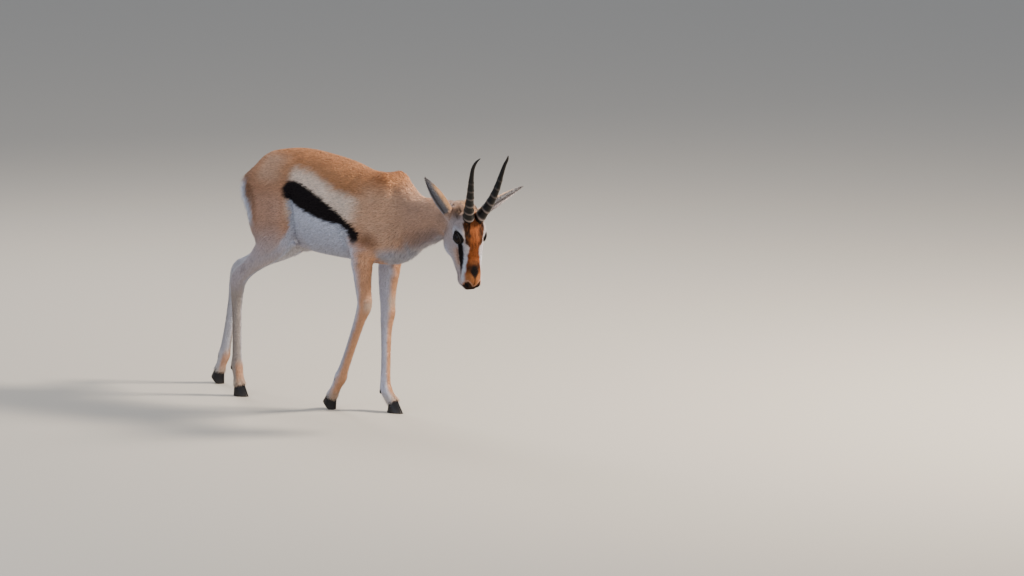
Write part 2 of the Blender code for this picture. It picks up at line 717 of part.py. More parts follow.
def tail_hair():
    """The tail's core, with flat tapered locks that hang down around it."""
    core = add_object("tail", *tube(TAIL, (-1, 0, 0), 10, 2))
    rows = smooth_rows(TAIL, 8)
    steps = np.linalg.norm(np.diff(rows[:, :3], axis=0), axis=1)
    lengths = np.concatenate([[0], np.cumsum(steps)])
    total = lengths[-1]
    last_way = (rows[-1, :3] - rows[-2, :3]) / steps[-1]

    def spot(at):
        """The middle of the tail and its half width at a distance from its root."""
        middle = np.array([np.interp(at, lengths, rows[:, k]) for k in range(3)])
        return middle + last_way * max(at - total, 0.0), np.interp(at, lengths, rows[:, 5])

    chance = random.Random(LOCK_SEED)
    locks = []
    for row in range(LOCK_ROWS):
        start = total * (LOCK_FROM + (LOCK_TO - LOCK_FROM) * row / (LOCK_ROWS - 1))
        for k in range(LOCKS_ROUND):
            angle = 2 * math.pi * (k + 0.5 * (row % 2)) / LOCKS_ROUND + chance.uniform(-0.3, 0.3)
            length = LOCK_LENGTH * chance.uniform(0.85, 1.15)
            sections = []
            for far, out, wide in LOCK_SHAPE:
                middle, half = spot(start + length * far)
                outward = np.array((-math.cos(angle), math.sin(angle), 0.0))
                middle = middle + outward * half * out
                sections.append((*middle, LOCK_THICKNESS, LOCK_THICKNESS, LOCK_WIDTH * wide))
            locks.append(add_object("lock", *tube(sections, outward, 4, 1)))
    fuse(core, locks)
    return core


# Outline of one claw seen from above: how far from heel to tip, and how far out from the middle.
CLAW = (
    (0.00, 0.0035), (0.02, 0.0090), (0.14, 0.0132), (0.38, 0.0148), (0.62, 0.0138),
    (0.82, 0.0100), (0.95, 0.0055), (1.00, 0.0026),
    (0.96, 0.0010), (0.70, 0.0012), (0.40, 0.0012), (0.12, 0.0014),
)


def hoof(name, inner):
    """The two claws of a foot, from the coronet plane to the floor."""
    sections = np.array(LEGS[name])
    end, before = sections[-1], sections[-2]
    down = Vector(end[:3] - before[:3]).normalized()
    tip, heel = (Vector(point) for point in HOOVES[name])
    level_tip, level_heel = Vector((tip.x, tip.y, 0)), Vector((heel.x, heel.y, 0))
    ahead = (level_tip - level_heel).normalized()
    length = (level_tip - level_heel).length
    left = Vector((0, 0, 1)).cross(ahead)
    top_centre = Vector(end[:3]) + down * GAP
    top_front = (ahead - down * ahead.dot(down)).normalized()
    top_left = down.cross(top_front) * -1
    if top_left.dot(left) < 0:
        top_left = -top_left
    flat = 0.30 if heel.z > 0 else 1.0
    claws = []
    for side, sign in SIDES:
        rings = []
        for level in (0.0, 0.35, 0.75, 1.0):
            ring = []
            for far, out in CLAW:
                bulge = 1.0 + 0.05 * math.sin(level * math.pi)
                angle_out = out / 0.0148
                high = far * 2 - 1
                reach = end[3] if high > 0 else end[4]
                room = math.sqrt(max(1 - min(abs(high), 0.97) ** 2, 0.0))
                side_out = end[5] * room * min(angle_out * 1.05, 1.0) if out > 0.003 else out
                top = top_centre + top_front * (high * reach * 0.96)
                top += top_left * (sign * max(side_out, 0.0010))
                rise = 0.0
                if heel.z > 0 and far < 1 - flat:
                    rise = heel.z * (1 - far / (1 - flat))
                foot = level_heel + ahead * (length * far) + left * (sign * out * bulge)
                foot.z = rise
                ring.append(top.lerp(foot, level))
            rings.append(ring)
        verts = [v for ring in rings for v in ring]
        n = len(CLAW)
        faces = [tuple(range(n)), tuple((len(rings) - 1) * n + k for k in range(n))]
        for r in range(len(rings) - 1):
            for k in range(n):
                a, b = r * n + k, r * n + (k + 1) % n
                faces.append((a, b, b + n, a + n))
        claws.append(add_object(name.replace("leg", "hoof") + "_" + inner[side], verts, faces))
    return claws


def paint(obj, colour):
    material = bpy.data.materials.new(obj.name)
    material.use_nodes = True
    shader = material.node_tree.nodes["Principled BSDF"]
    shader.inputs["Base Color"].default_value = (*COLOURS[colour], 1)
    shader.inputs["Roughness"].default_value = 0.8
    obj.data.materials.clear()
    obj.data.materials.append(material)


def main():
    for old in list(bpy.data.objects):
        bpy.data.objects.remove(old)

    flesh = body()
    past_cut = part_at(flesh, *HEAD_CUT, "past_cut")
    bpy.data.objects.remove(past_cut)
    legs = part_at(flesh, *LEG_PLANE, "legs")
    neck = part_at(flesh, *NECK_PLANE, "neck")
    torso = flesh
    torso.name = "torso"

    def leg_name(centre):
        half = "fore" if centre.x > 0 else "hind"
        return half + "leg_" + ("left" if centre.y > 0 else "right")

    pieces = {"torso": (torso, "coat"), "neck": (neck, "coat")}
    for leg in islands(legs, leg_name):
        name = leg.name
        sections = np.array(LEGS[name])
        down = Vector(sections[-1][:3] - sections[-2][:3])
        cut_away(leg, Vector(sections[-1][:3]), down)
        lower = part_at(leg, JOINTS[name], (0, 0, -1), name + "_lower")
        leg.name = name + "_upper"
        fuse(lower, dewclaws(name))
        pieces[leg.name] = (leg, "leg")
        pieces[lower.name] = (lower, "leg")
        for claw in hoof(name, {"right": "right_claw", "left": "left_claw"}):
            pieces[claw.name] = (claw, "hoof")

    head = head_flesh()
    point, way = Vector(HEAD_CUT[0]), Vector(HEAD_CUT[1]).normalized()
    cut_away(head, point + way * GAP / 2, -way)
    for eye in open_eyes(head):
        pieces[eye.name] = (eye, "eye")
    open_mouth(head)
    head = keep_largest(head)
    pieces["head"] = (head, "face")

    for side, sign in SIDES:
        piece = horn(side, sign)
        combine(piece, grown(head, GAP), "DIFFERENCE")
        piece = keep_largest(piece)
        pieces[piece.name] = (piece, "horn")
    for side, sign in SIDES:
        piece = ear(side)
        combine(piece, grown(head, GAP), "DIFFERENCE")
        piece = keep_largest(piece)
        pieces[piece.name] = (piece, "ear")

    tail = tail_hair()
    combine(tail, grown(torso, GAP), "DIFFERENCE")
    tail = keep_largest(tail)
    pieces["tail"] = (tail, "tail")

    for name, (piece, colour) in pieces.items():
        triangulate(piece)
        paint(piece, colour)
    corners = np.vstack([[v.co[:] for v in piece.data.vertices] for piece, _ in pieces.values()])
    low, high = corners.min(axis=0), corners.max(axis=0)
    shift = Vector((-(low[0] + high[0]) / 2, -(low[1] + high[1]) / 2, 0))
    for piece, _ in pieces.values():
        piece.data.transform(Matrix.Translation(shift))


main()
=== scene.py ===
"""Looks of a young Thomson's gazelle buck, life size, standing with its head lowered.

The body is drawn in the coordinates that its solids are drawn in, and moved to the frame at the
end by SHIFT. +X is forwards, +Y is the animal's left and +Z is up. All sizes are in metres.
"""

import json
import math

import bmesh
import bpy
import numpy as np
from mathutils import Matrix, Vector, noise

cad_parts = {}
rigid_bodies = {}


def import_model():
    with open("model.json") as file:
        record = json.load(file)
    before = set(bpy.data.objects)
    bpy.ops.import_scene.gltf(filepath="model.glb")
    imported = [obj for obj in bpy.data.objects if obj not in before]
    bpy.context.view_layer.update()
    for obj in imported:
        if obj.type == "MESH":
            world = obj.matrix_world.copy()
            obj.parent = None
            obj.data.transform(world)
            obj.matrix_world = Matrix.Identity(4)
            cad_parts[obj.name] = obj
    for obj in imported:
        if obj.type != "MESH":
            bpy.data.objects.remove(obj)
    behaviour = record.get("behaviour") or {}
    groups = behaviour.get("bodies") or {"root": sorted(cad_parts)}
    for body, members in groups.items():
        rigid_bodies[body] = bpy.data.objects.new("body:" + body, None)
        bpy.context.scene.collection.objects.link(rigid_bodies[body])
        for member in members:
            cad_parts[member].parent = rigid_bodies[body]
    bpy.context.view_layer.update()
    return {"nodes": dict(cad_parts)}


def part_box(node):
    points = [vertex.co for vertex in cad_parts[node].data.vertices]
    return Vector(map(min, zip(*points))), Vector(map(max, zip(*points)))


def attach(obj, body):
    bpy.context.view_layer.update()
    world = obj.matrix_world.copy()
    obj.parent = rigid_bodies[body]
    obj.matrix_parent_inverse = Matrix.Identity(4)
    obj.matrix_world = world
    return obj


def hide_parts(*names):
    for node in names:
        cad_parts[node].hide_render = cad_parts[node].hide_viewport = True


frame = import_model()

SEED = 11
SIDES = (("right", -1), ("left", 1))

# Shape of the body. Sections run along a path: a centre, the reach to the front (or top), the
# reach to the back (or bottom), the half width, and how square the front and back halves are.

TRUNK = (
    (-0.258, 0.000, 0.505, 0.043, 0.045, 0.024, 2.0, 2.0),
    (-0.240, 0.000, 0.505, 0.073, 0.080, 0.046, 2.0, 2.0),
    (-0.200, 0.000, 0.505, 0.108, 0.100, 0.064, 2.0, 2.0),
    (-0.140, 0.000, 0.500, 0.127, 0.108, 0.073, 2.0, 2.1),
    (-0.080, 0.000, 0.492, 0.141, 0.108, 0.078, 2.0, 2.1),
    (-0.010, 0.000, 0.485, 0.143, 0.108, 0.086, 2.0, 2.1),
    (0.070, 0.000, 0.482, 0.135, 0.108, 0.086, 2.0, 2.1),
    (0.140, 0.000, 0.480, 0.121, 0.108, 0.077, 1.9, 2.0),
    (0.200, 0.000, 0.480, 0.119, 0.108, 0.064, 1.8, 2.0),
    (0.245, 0.000, 0.478, 0.117, 0.098, 0.054, 1.8, 2.0),
    (0.280, 0.000, 0.472, 0.096, 0.072, 0.044, 2.0, 2.0),
    (0.300, 0.000, 0.468, 0.050, 0.036, 0.026, 2.0, 2.0),
)
NECK = (
    (0.190, 0.000, 0.500, 0.085, 0.085, 0.046, 2.0, 2.0),
    (0.250, -0.001, 0.490, 0.086, 0.082, 0.048, 2.0, 2.0),
    (0.300, -0.004, 0.491, 0.068, 0.070, 0.043, 2.0, 2.0),
    (0.345, -0.009, 0.499, 0.053, 0.058, 0.037, 2.0, 2.0),
    (0.390, -0.016, 0.508, 0.046, 0.050, 0.034, 2.0, 2.0),
    (0.428, -0.022, 0.514, 0.041, 0.046, 0.032, 2.0, 2.0),
    (0.460, -0.027, 0.517, 0.036, 0.040, 0.029, 2.0, 2.0),
)

# The head's own axes: along runs from the poll to the nose, front is where the face looks.
HEAD_PLACE = (0.4710, -0.0280, 0.5627)
HEAD_TURN = math.radians(-13)
HEAD_TUCK = math.radians(-7)
HEAD = (
    (0.004, 0.0, -0.010, 0.010, 0.012, 0.014, 2.0, 2.0),
    (0.015, 0.0, -0.004, 0.027, 0.030, 0.029, 2.0, 2.0),
    (0.033, 0.0, 0.003, 0.034, 0.046, 0.0360, 2.1, 2.0),
    (0.055, 0.0, 0.010, 0.035, 0.064, 0.0395, 2.3, 1.9),
    (0.080, 0.0, 0.014, 0.031, 0.079, 0.0400, 2.4, 1.8),
    (0.104, 0.0, 0.014, 0.029, 0.078, 0.0370, 2.4, 1.8),
    (0.130, 0.0, 0.012, 0.028, 0.068, 0.0320, 2.4, 1.8),
    (0.156, 0.0, 0.010, 0.028, 0.052, 0.0270, 2.4, 2.0),
    (0.182, 0.0, 0.009, 0.029, 0.036, 0.0245, 2.4, 2.1),
    (0.203, 0.0, 0.008, 0.026, 0.025, 0.0224, 2.3, 2.1),
    (0.218, 0.0, 0.006, 0.011, 0.011, 0.0108, 2.0, 2.0),
)
# Where the head meets the neck, as a plane, and how far about it the two pass into each other.
HEAD_CUT = ((0.409, -0.019, 0.511), (0.975, -0.170, 0.110))
HEAD_EDGE = (-0.020, 0.010)

LEGS = {
    "foreleg_right": (
        (0.200, -0.046, 0.470, 0.034, 0.038, 0.026),
        (0.172, -0.050, 0.420, 0.034, 0.050, 0.026),
        (0.162, -0.050, 0.382, 0.0255, 0.0405, 0.0225),
        (0.160, -0.048, 0.340, 0.0205, 0.0285, 0.0185),
        (0.162, -0.046, 0.305, 0.0170, 0.0250, 0.0168),
        (0.162, -0.045, 0.280, 0.0182, 0.0205, 0.0172),
        (0.158, -0.044, 0.262, 0.0165, 0.0200, 0.0165),
        (0.144, -0.043, 0.230, 0.0114, 0.0175, 0.0125),
        (0.112, -0.041, 0.160, 0.0100, 0.0150, 0.0108),
        (0.087, -0.040, 0.105, 0.0110, 0.0158, 0.0113),
        (0.077, -0.039, 0.084, 0.0134, 0.0190, 0.0136),
        (0.059, -0.037, 0.059, 0.0114, 0.0130, 0.0122),
        (0.042, -0.035, 0.036, 0.0130, 0.0135, 0.0138),
    ),
    "foreleg_left": (
        (0.195, 0.046, 0.450, 0.034, 0.038, 0.026),
        (0.160, 0.050, 0.395, 0.038, 0.036, 0.026),
        (0.155, 0.048, 0.350, 0.0310, 0.0310, 0.0220),
        (0.156, 0.046, 0.300, 0.0190, 0.0290, 0.0175),
        (0.157, 0.045, 0.265, 0.0155, 0.0255, 0.0160),
        (0.157, 0.044, 0.243, 0.0160, 0.0225, 0.0168),
        (0.155, 0.043, 0.225, 0.0138, 0.0200, 0.0158),
        (0.153, 0.042, 0.195, 0.0112, 0.0165, 0.0125),
        (0.152, 0.041, 0.130, 0.0104, 0.0142, 0.0108),
        (0.151, 0.040, 0.075, 0.0118, 0.0142, 0.0115),
        (0.154, 0.039, 0.055, 0.0140, 0.0165, 0.0136),
        (0.168, 0.037, 0.038, 0.0122, 0.0135, 0.0127),
        (0.181, 0.036, 0.025, 0.0135, 0.0145, 0.0145),
    ),
    "hindleg_right": (
        (-0.130, -0.052, 0.480, 0.060, 0.070, 0.036),
        (-0.104, -0.062, 0.424, 0.046, 0.082, 0.032),
        (-0.140, -0.064, 0.382, 0.034, 0.052, 0.0265),
        (-0.184, -0.062, 0.350, 0.0235, 0.0290, 0.0205),
        (-0.224, -0.060, 0.320, 0.0175, 0.0240, 0.0162),
        (-0.252, -0.059, 0.293, 0.0178, 0.0260, 0.0168),
        (-0.261, -0.058, 0.262, 0.0148, 0.0185, 0.0150),
        (-0.264, -0.057, 0.215, 0.0112, 0.0138, 0.0118),
        (-0.266, -0.055, 0.150, 0.0104, 0.0126, 0.0108),
        (-0.268, -0.053, 0.098, 0.0112, 0.0138, 0.0115),
        (-0.268, -0.053, 0.078, 0.0140, 0.0165, 0.0140),
        (-0.265, -0.052, 0.052, 0.0118, 0.0130, 0.0128),
        (-0.262, -0.051, 0.031, 0.0132, 0.0142, 0.0142),
    ),
    "hindleg_left": (
        (-0.150, 0.050, 0.480, 0.060, 0.066, 0.036),
        (-0.170, 0.060, 0.404, 0.044, 0.066, 0.032),
        (-0.225, 0.062, 0.366, 0.034, 0.036, 0.0260),
        (-0.281, 0.061, 0.338, 0.0255, 0.0265, 0.0205),
        (-0.331, 0.060, 0.313, 0.0185, 0.0230, 0.0160),
        (-0.367, 0.059, 0.291, 0.0182, 0.0258, 0.0168),
        (-0.382, 0.058, 0.260, 0.0158, 0.0178, 0.0150),
        (-0.390, 0.057, 0.218, 0.0130, 0.0136, 0.0118),
        (-0.402, 0.055, 0.150, 0.0128, 0.0126, 0.0108),
        (-0.413, 0.053, 0.096, 0.0138, 0.0136, 0.0115),
        (-0.417, 0.052, 0.074, 0.0150, 0.0165, 0.0140),
        (-0.424, 0.051, 0.054, 0.0120, 0.0130, 0.0128),
        (-0.431, 0.050, 0.036, 0.0128, 0.0138, 0.0140),
    ),
}
# Dewclaws: which section of a leg is its fetlock, how far they stand from the middle, their size.
FETLOCK = 10
DEWCLAW_OUT = 0.0075
DEWCLAW = (0.0044, 0.0040, 0.0074)
HOOVES = {
    "foreleg_right": ((0.050, -0.035, 0.0), (0.017, -0.033, 0.021)),
    "foreleg_left": ((0.214, 0.033, 0.0), (0.167, 0.036, 0.0)),
    "hindleg_right": ((-0.236, -0.048, 0.0), (-0.276, -0.051, 0.0)),
    "hindleg_left": ((-0.418, 0.048, 0.0), (-0.452, 0.050, 0.018)),
}

# Muscles and bony points of the right side, which the left side mirrors: centre, half sizes, turn.
TRUNK_LUMPS = (
    ((0.212, -0.027, 0.574), (0.034, 0.019, 0.031), (0, 10, 0)),
    ((0.200, -0.039, 0.500), (0.042, 0.025, 0.084), (0, 20, 0)),
    ((0.240, -0.042, 0.440), (0.040, 0.023, 0.048), (0, 0, 0)),
    ((0.182, -0.048, 0.436), (0.062, 0.026, 0.046), (0, 20, 0)),
    ((-0.095, -0.040, 0.580), (0.038, 0.024, 0.030), (0, 0, 0)),
    ((-0.188, -0.042, 0.520), (0.064, 0.034, 0.066), (0, -15, 0)),
    ((-0.146, -0.056, 0.460), (0.076, 0.034, 0.098), (0, -12, 0)),
)
HEAD_LUMPS = (
    ((0.078, -0.029, 0.020), (0.028, 0.014, 0.022), (0, 0, 0)),
    ((0.100, -0.022, -0.022), (0.038, 0.016, 0.033), (0, 20, 0)),
    ((0.050, -0.018, 0.030), (0.020, 0.016, 0.019), (0, 0, 0)),
    ((0.040, -0.026, -0.008), (0.020, 0.014, 0.018), (0, 0, 0)),
    ((0.023, -0.008, -0.002), (0.020, 0.020, 0.025), (0, 0, 0)),
    ((0.197, -0.011, 0.021), (0.018, 0.011, 0.012), (0, 0, 0)),
    ((0.193, -0.011, 0.002), (0.020, 0.012, 0.013), (0, 0, 0)),
    ((0.190, -0.005, -0.016), (0.020, 0.013, 0.011), (0, 0, 0)),
)

EYE_PLACE = (0.0905, 0.0310, 0.0220)
EYE_WAY = (0.04, 0.93, 0.35)
EYE_RADIUS = 0.0145
LID = 0.0016
EYE_GAP = 0.0002
EYE_OPENING = (0.0135, 0.0098)
EYE_SLANT = math.radians(20)

NOSTRIL = ((0.2090, 0.0160, 0.0210), (0.0072, 0.0034, 0.0036), (0, 0, 28))
MOUTH = (
    (0.172, -0.026, -0.004),
    (0.184, -0.026, -0.007),
    (0.197, -0.024, -0.009),
    (0.210, -0.018, -0.010),
    (0.222, -0.009, -0.010),
    (0.226, 0.000, -0.010),
)
MOUTH_GROOVE = 0.0011

HORN = (
    # along, left, front, radius
    (0.050, -0.0155, 0.0310, 0.0138),
    (0.042, -0.0178, 0.0460, 0.0141),
    (0.030, -0.0228, 0.0575, 0.0128),
    (0.0160, -0.0285, 0.0695, 0.0110),
    (-0.006, -0.0344, 0.0850, 0.0093),
    (-0.030, -0.0393, 0.0982, 0.0077),
    (-0.053, -0.0428, 0.1090, 0.0060),
    (-0.076, -0.0453, 0.1220, 0.0046),
    (-0.0910, -0.0450, 0.1370, 0.0032),
    (-0.100, -0.0405, 0.1490, 0.0012),
)
HORN_FLATNESS = 0.93
HORN_ROWS, HORN_SIDES = 220, 44
HORN_RINGS = 6
# The first and last ring's place along the horn, and a ring's reach towards the root and the tip.
RING_SPAN = (0.10, 0.62)
RING_HEIGHT = 0.0016
RING_REACH = (0.0024, 0.0042)

EARS = {
    "right": ((0.045, -0.029, -0.004), (-0.059, -0.106, 0.003), (-0.10, -0.40, 0.90)),
    "left": ((0.045, 0.029, -0.004), (-0.020, 0.136, 0.060), (-0.75, -0.60, 0.25)),
}
EAR_SHAPE = (
    # how far along, half width, how far round the cup goes in degrees
    (0.00, 0.0115, 165),
    (0.12, 0.0126, 150),
    (0.28, 0.0142, 122),
    (0.45, 0.0150, 104),
    (0.62, 0.0136, 90),
    (0.78, 0.0100, 78),
    (0.90, 0.0060, 64),
    (1.00, 0.0016, 50),
)
EAR_FLATNESS = 0.62
EAR_SINK = 0.45
EAR_SKIN = 0.0004
EAR_THICKNESS = 0.0018

# The tail is free of the body below and behind these, in height and in length.
TAIL_BELOW, TAIL_BEHIND = 0.558, -0.244
TAIL = (
    (-0.225, 0.000, 0.560, 0.0120, 0.0120, 0.0150),
    (-0.248, 0.001, 0.555, 0.0105, 0.0105, 0.0125),
    (-0.270, 0.004, 0.534, 0.0070, 0.0075, 0.0090),
    (-0.275, 0.008, 0.505, 0.0060, 0.0065, 0.0085),
    (-0.272, 0.012, 0.462, 0.0055, 0.0060, 0.0085),
    (-0.263, 0.014, 0.425, 0.0045, 0.0050, 0.0070),
    (-0.256, 0.015, 0.398, 0.0016, 0.0016, 0.0022),
)

# Folds of the skin on each side: a path of x and z, its depth, its reach and how much painted shade
# lies in it.
FOLDS = (
    (((-0.064, 0.520), (-0.056, 0.480), (-0.055, 0.445), (-0.060, 0.405)), 0.0065, 0.0075, 0.8),
    (((0.104, 0.470), (0.116, 0.430), (0.124, 0.385)), 0.0040, 0.0080, 0.5),
    (((0.128, 0.585), (0.108, 0.545), (0.106, 0.500), (0.118, 0.460)), 0.0018, 0.0140, 0.15),
    (((-0.205, 0.520), (-0.192, 0.460), (-0.180, 0.400)), 0.0020, 0.0130, 0.12),
    (((0.262, 0.560), (0.268, 0.500), (0.262, 0.450)), 0.0022, 0.0130, 0.15),
)

# The skin: the grain at which the soft forms and the whole melt together, and the triangles kept.
SOFT_VOXEL = 0.0032
SKIN_VOXEL = 0.0017
SKIN_TRIANGLES = 162000
# Rounds of smoothing: the soft forms, the whole skin, the nape, the folds, the seams of the ears
# and lids, and the ways that the surface faces, for the markings that follow them.
BODY_ROUNDS, SKIN_ROUNDS, NAPE_ROUNDS, FOLD_ROUNDS, SEAM_ROUNDS, WAY_ROUNDS = 60, 15, 110, 3, 8, 40

# The coat's pieces: name, kind of tuft, tufts a square metre, and how far they lean. The trunk has
# five from front to back on each side, which end at TRUNK_ENDS, and the legs' start at LEG_TOP.
TRUNK_DENSITY = 170000
TRUNK_ENDS = (0.170, 0.090, -0.005, -0.110)
LEG_TOP = 0.340
TRUNK_LEANS = {"neck": 0.16, "shoulder": 0.14, "side": 0.14, "flank": 0.14, "rump": 0.15}
COAT = [
    ("coat_" + part + "_" + side, "blade", TRUNK_DENSITY, lean)
    for part, lean in TRUNK_LEANS.items() for side, _ in SIDES
]
COAT += [
    ("coat_forelegs", "hair", 210000, 0.16),
    ("coat_hindlegs", "hair", 210000, 0.16),
    ("coat_head", "hair", 270000, 0.16),
    ("coat_ears", "hair", 300000, 0.14),
    ("coat_ear_insides", "hair", 120000, 0.30),
    ("tail_hair", "lock", 160000, 0.12),
]
# The hair's length and width in each region, and how many tufts grow there for one on the trunk.
HAIR_LENGTH = {"trunk": 0.0115, "legs": 0.0062, "face": 0.0058, "lids": 0.0032, "ears": 0.0055,
               "tail": 0.024}
HAIR_WIDTH = {"trunk": 0.00115, "head": 0.00075, "ears": 0.0008, "tail": 0.0030}
HAIR_NUMBER = {"trunk": 1.0, "head": 3.0, "ears": 2.6, "tail": 1.0}
# How much finer the lower legs' hair is than the trunk's, and how many more tufts grow there.
LEG_FINER, LEG_MORE = 0.00032, 1.1
# What coat_growth gives for each point of the skin, in its order.
GROWTH = ("lie", "long", "wide", "thick", "rise")
# How far across a tuft's own patch is on the unwrap.
TUFT_PATCH = 0.003

# Colours, as display values from 0 to 255 that are turned to light values.

def paint_of(red, green, blue):
    """The light values of a display colour."""
    values = np.array([red, green, blue], float) / 255
    return np.where(values <= 0.04045, values / 12.92, ((values + 0.055) / 1.055) ** 2.4)


BACK = paint_of(192, 138, 98)
BACK_DARK = paint_of(160, 96, 52)
SANDY = paint_of(242, 222, 206)
SHOULDER = paint_of(216, 176, 148)
THIGH = paint_of(194, 155, 134)
NECK_GREY = paint_of(190, 154, 133)
NECK_LOW = paint_of(140, 124, 124)
# Painted shade: the inner sides of the thighs as they look in shadow.
THIGH_INSIDE_SHADE = paint_of(128, 116, 114)
BELLY_SHADE = paint_of(168, 167, 182)
# Painted shade: the chest's white hair as it looks in shadow.
BRISKET_IN_SHADE = paint_of(168, 168, 180)
HIND_PALE = paint_of(210, 208, 216)
HIND_OUTER = paint_of(198, 188, 194)
HIND_CANNON = paint_of(180, 168, 162)
BLACK = paint_of(26, 20, 23)
WHITE = paint_of(210, 214, 230)
WHITE_WARM = paint_of(216, 205, 192)
LEG_TAN = paint_of(218, 168, 134)
LEG_PALE = paint_of(216, 217, 234)
FACE_PALE = paint_of(194, 180, 180)
BLAZE = paint_of(164, 96, 54)
BLAZE_DARK = paint_of(44, 28, 20)
NOSE_TAN = paint_of(172, 112, 68)
NOSE_BLACK = paint_of(20, 16, 17)
POLL = paint_of(182, 150, 130)
FACE_WHITE = paint_of(206, 210, 222)
CHEEK_BROWN = paint_of(150, 108, 86)
EAR_GREY = paint_of(118, 116, 120)
EAR_TAN = paint_of(214, 168, 124)
EAR_INSIDE = paint_of(62, 50, 48)
HORN_BLACK = paint_of(12, 11, 12)
# Painted highlight on the crests of the horn's rings.
HORN_CREST_HIGHLIGHT = paint_of(150, 136, 130)
HOOF_BLACK = paint_of(17, 16, 19)
HOOF_WORN = paint_of(70, 62, 58)
FLOOR = paint_of(164, 158, 150)
# These three are light values.
PUPIL = (0.004, 0.004, 0.006)
IRIS = (0.012, 0.008, 0.006)
LID_BLACK = (0.012, 0.010, 0.010)


# Making meshes

def smooth_rows(rows, steps):
    """Rows of numbers with more rows between them, along a smooth curve through each column."""
    rows = np.array(rows, float)
    ends = np.vstack([2 * rows[0] - rows[1], rows, 2 * rows[-1] - rows[-2]])
    out = []
    for k in range(1, len(ends) - 2):
        a, b, c, d = ends[k - 1 : k + 3]
        for t in np.arange(steps) / steps:
            out.append(
                0.5 * (2 * b + (c - a) * t + (2 * a - 5 * b + 4 * c - d) * t**2
                       + (3 * b - a - 3 * c + d) * t**3)
            )
    return np.array(out + [rows[-1]])


def tube(sections, front, sides=24, steps=5, upright=None, relief=None):
    """A closed tube through sections. front is the way that its front half faces, upright, if
    given, is the direction that every section's plane is square to, and relief changes the radius
    from how far along a point is and its angle."""
    rows = smooth_rows(sections, steps)
    centres = rows[:, :3]
    ways = np.gradient(centres, axis=0)
    front = np.array(front, float)
    angles = np.arange(sides) * 2 * math.pi / sides
    verts, faces = [], []
    for place, (row, centre, way) in enumerate(zip(rows, centres, ways)):
        way = np.array(upright, float) if upright is not None else way
        way = way / np.linalg.norm(way)
        up = front - way * (front @ way)
        up /= np.linalg.norm(up)
        across = np.cross(way, up)
        reach_up, reach_down, side = np.maximum(row[3:6], 0.0004)
        squares = row[6:8] if len(row) > 6 else (2.0, 2.0)
        for angle in angles:
            c, s = math.cos(angle), math.sin(angle)
            power = 2 / (squares[0] if s >= 0 else squares[1])
            high = abs(s) ** power * (reach_up if s >= 0 else -reach_down)
            wide = math.copysign(abs(c) ** power, c) * side
            grow = 1.0 if relief is None else relief(place / (len(rows) - 1), angle)
            verts.append(centre + (up * high + across * wide) * grow)
    for ring in range(len(rows) - 1):
        for k in range(sides):
            a, b = ring * sides + k, ring * sides + (k + 1) % sides
            faces.append((a, b, b + sides, a + sides))
    last = (len(rows) - 1) * sides
    faces.append(tuple(range(sides))[::-1])
    faces.append(tuple(last + k for k in range(sides)))
    return verts, faces


def new_object(name, data):
    """An object in the scene, from a mesh, a light or a camera."""
    obj = bpy.data.objects.new(name, data)
    bpy.context.scene.collection.objects.link(obj)
    return obj


def built(name, bm):
    """An object for a mesh that was being built, which is used up."""
    mesh = bpy.data.meshes.new(name)
    bm.to_mesh(mesh)
    bm.free()
    return new_object(name, mesh)


def add_object(name, verts, faces):
    """A mesh object with its faces turned outwards."""
    mesh = bpy.data.meshes.new(name)
    mesh.from_pydata([tuple(v) for v in verts], [], faces)
    bm = bmesh.new()
    bm.from_mesh(mesh)
    bmesh.ops.recalc_face_normals(bm, faces=bm.faces)
    bm.to_mesh(mesh)
    bm.free()
    return new_object(name, mesh)


def ball(name, centre, reach, turn=(0, 0, 0), place=None, detail=4):
    """A stretched ball: reach is its half sizes, and turn its rotation in degrees."""
    bm = bmesh.new()
    bmesh.ops.create_icosphere(bm, subdivisions=detail, radius=1.0)
    spin = Matrix.Identity(4)
    for axis, angle in zip("XYZ", turn):
        spin = Matrix.Rotation(math.radians(angle), 4, axis) @ spin
    whole = Matrix.Translation(centre) @ spin @ Matrix.Diagonal((*reach, 1))
    if place is not None:
        whole = place @ whole
    bmesh.ops.transform(bm, matrix=whole, verts=bm.verts)
    if whole.determinant() < 0:
        bmesh.ops.reverse_faces(bm, faces=bm.faces)
    return built(name, bm)


def in_head(co):
    """Points in the head's own axes."""
    return (co - np.array(HEAD_PLACE)) @ np.array(head_matrix().to_3x3())


def past_cut(co):
    """How far points are beyond the plane where the head meets the neck."""
    return (co - np.array(HEAD_CUT[0])) @ np.array(HEAD_CUT[1])


def head_matrix():
    """From the head's own axes (along, left, front) to the world."""
    ahead = Vector((math.cos(HEAD_TURN), math.sin(HEAD_TURN), 0))
    up = Vector((0, 0, 1))
    front = ahead * math.cos(HEAD_TUCK) - up * math.sin(HEAD_TUCK)
    along = -ahead * math.sin(HEAD_TUCK) - up * math.cos(HEAD_TUCK)
    left = up.cross(ahead)
    place = Matrix((along, left, front)).transposed().to_4x4()
    place.translation = HEAD_PLACE
    return place


def eye_frame(sign):
    """Axes at an eye: the long way of the opening, the short way, and the way it looks."""
    place = head_matrix()
    look = (place.to_3x3() @ Vector((EYE_WAY[0], sign * EYE_WAY[1], EYE_WAY[2]))).normalized()
    along = place.to_3x3() @ Vector((1, 0, 0))
    front = place.to_3x3() @ Vector((0, 0, 1))
    long = along * math.cos(EYE_SLANT) + front * math.sin(EYE_SLANT)
    long = (long - look * long.dot(look)).normalized()
    short = look.cross(long)
    axes = Matrix((long, short, look)).transposed().to_4x4()
    axes.translation = place @ Vector((EYE_PLACE[0], sign * EYE_PLACE[1], EYE_PLACE[2]))
    return axes


def in_eye(co, sign):
    """Points in an eye's own axes."""
    axes = np.array(eye_frame(sign).inverted())
    return co @ axes[:3, :3].T + axes[:3, 3]


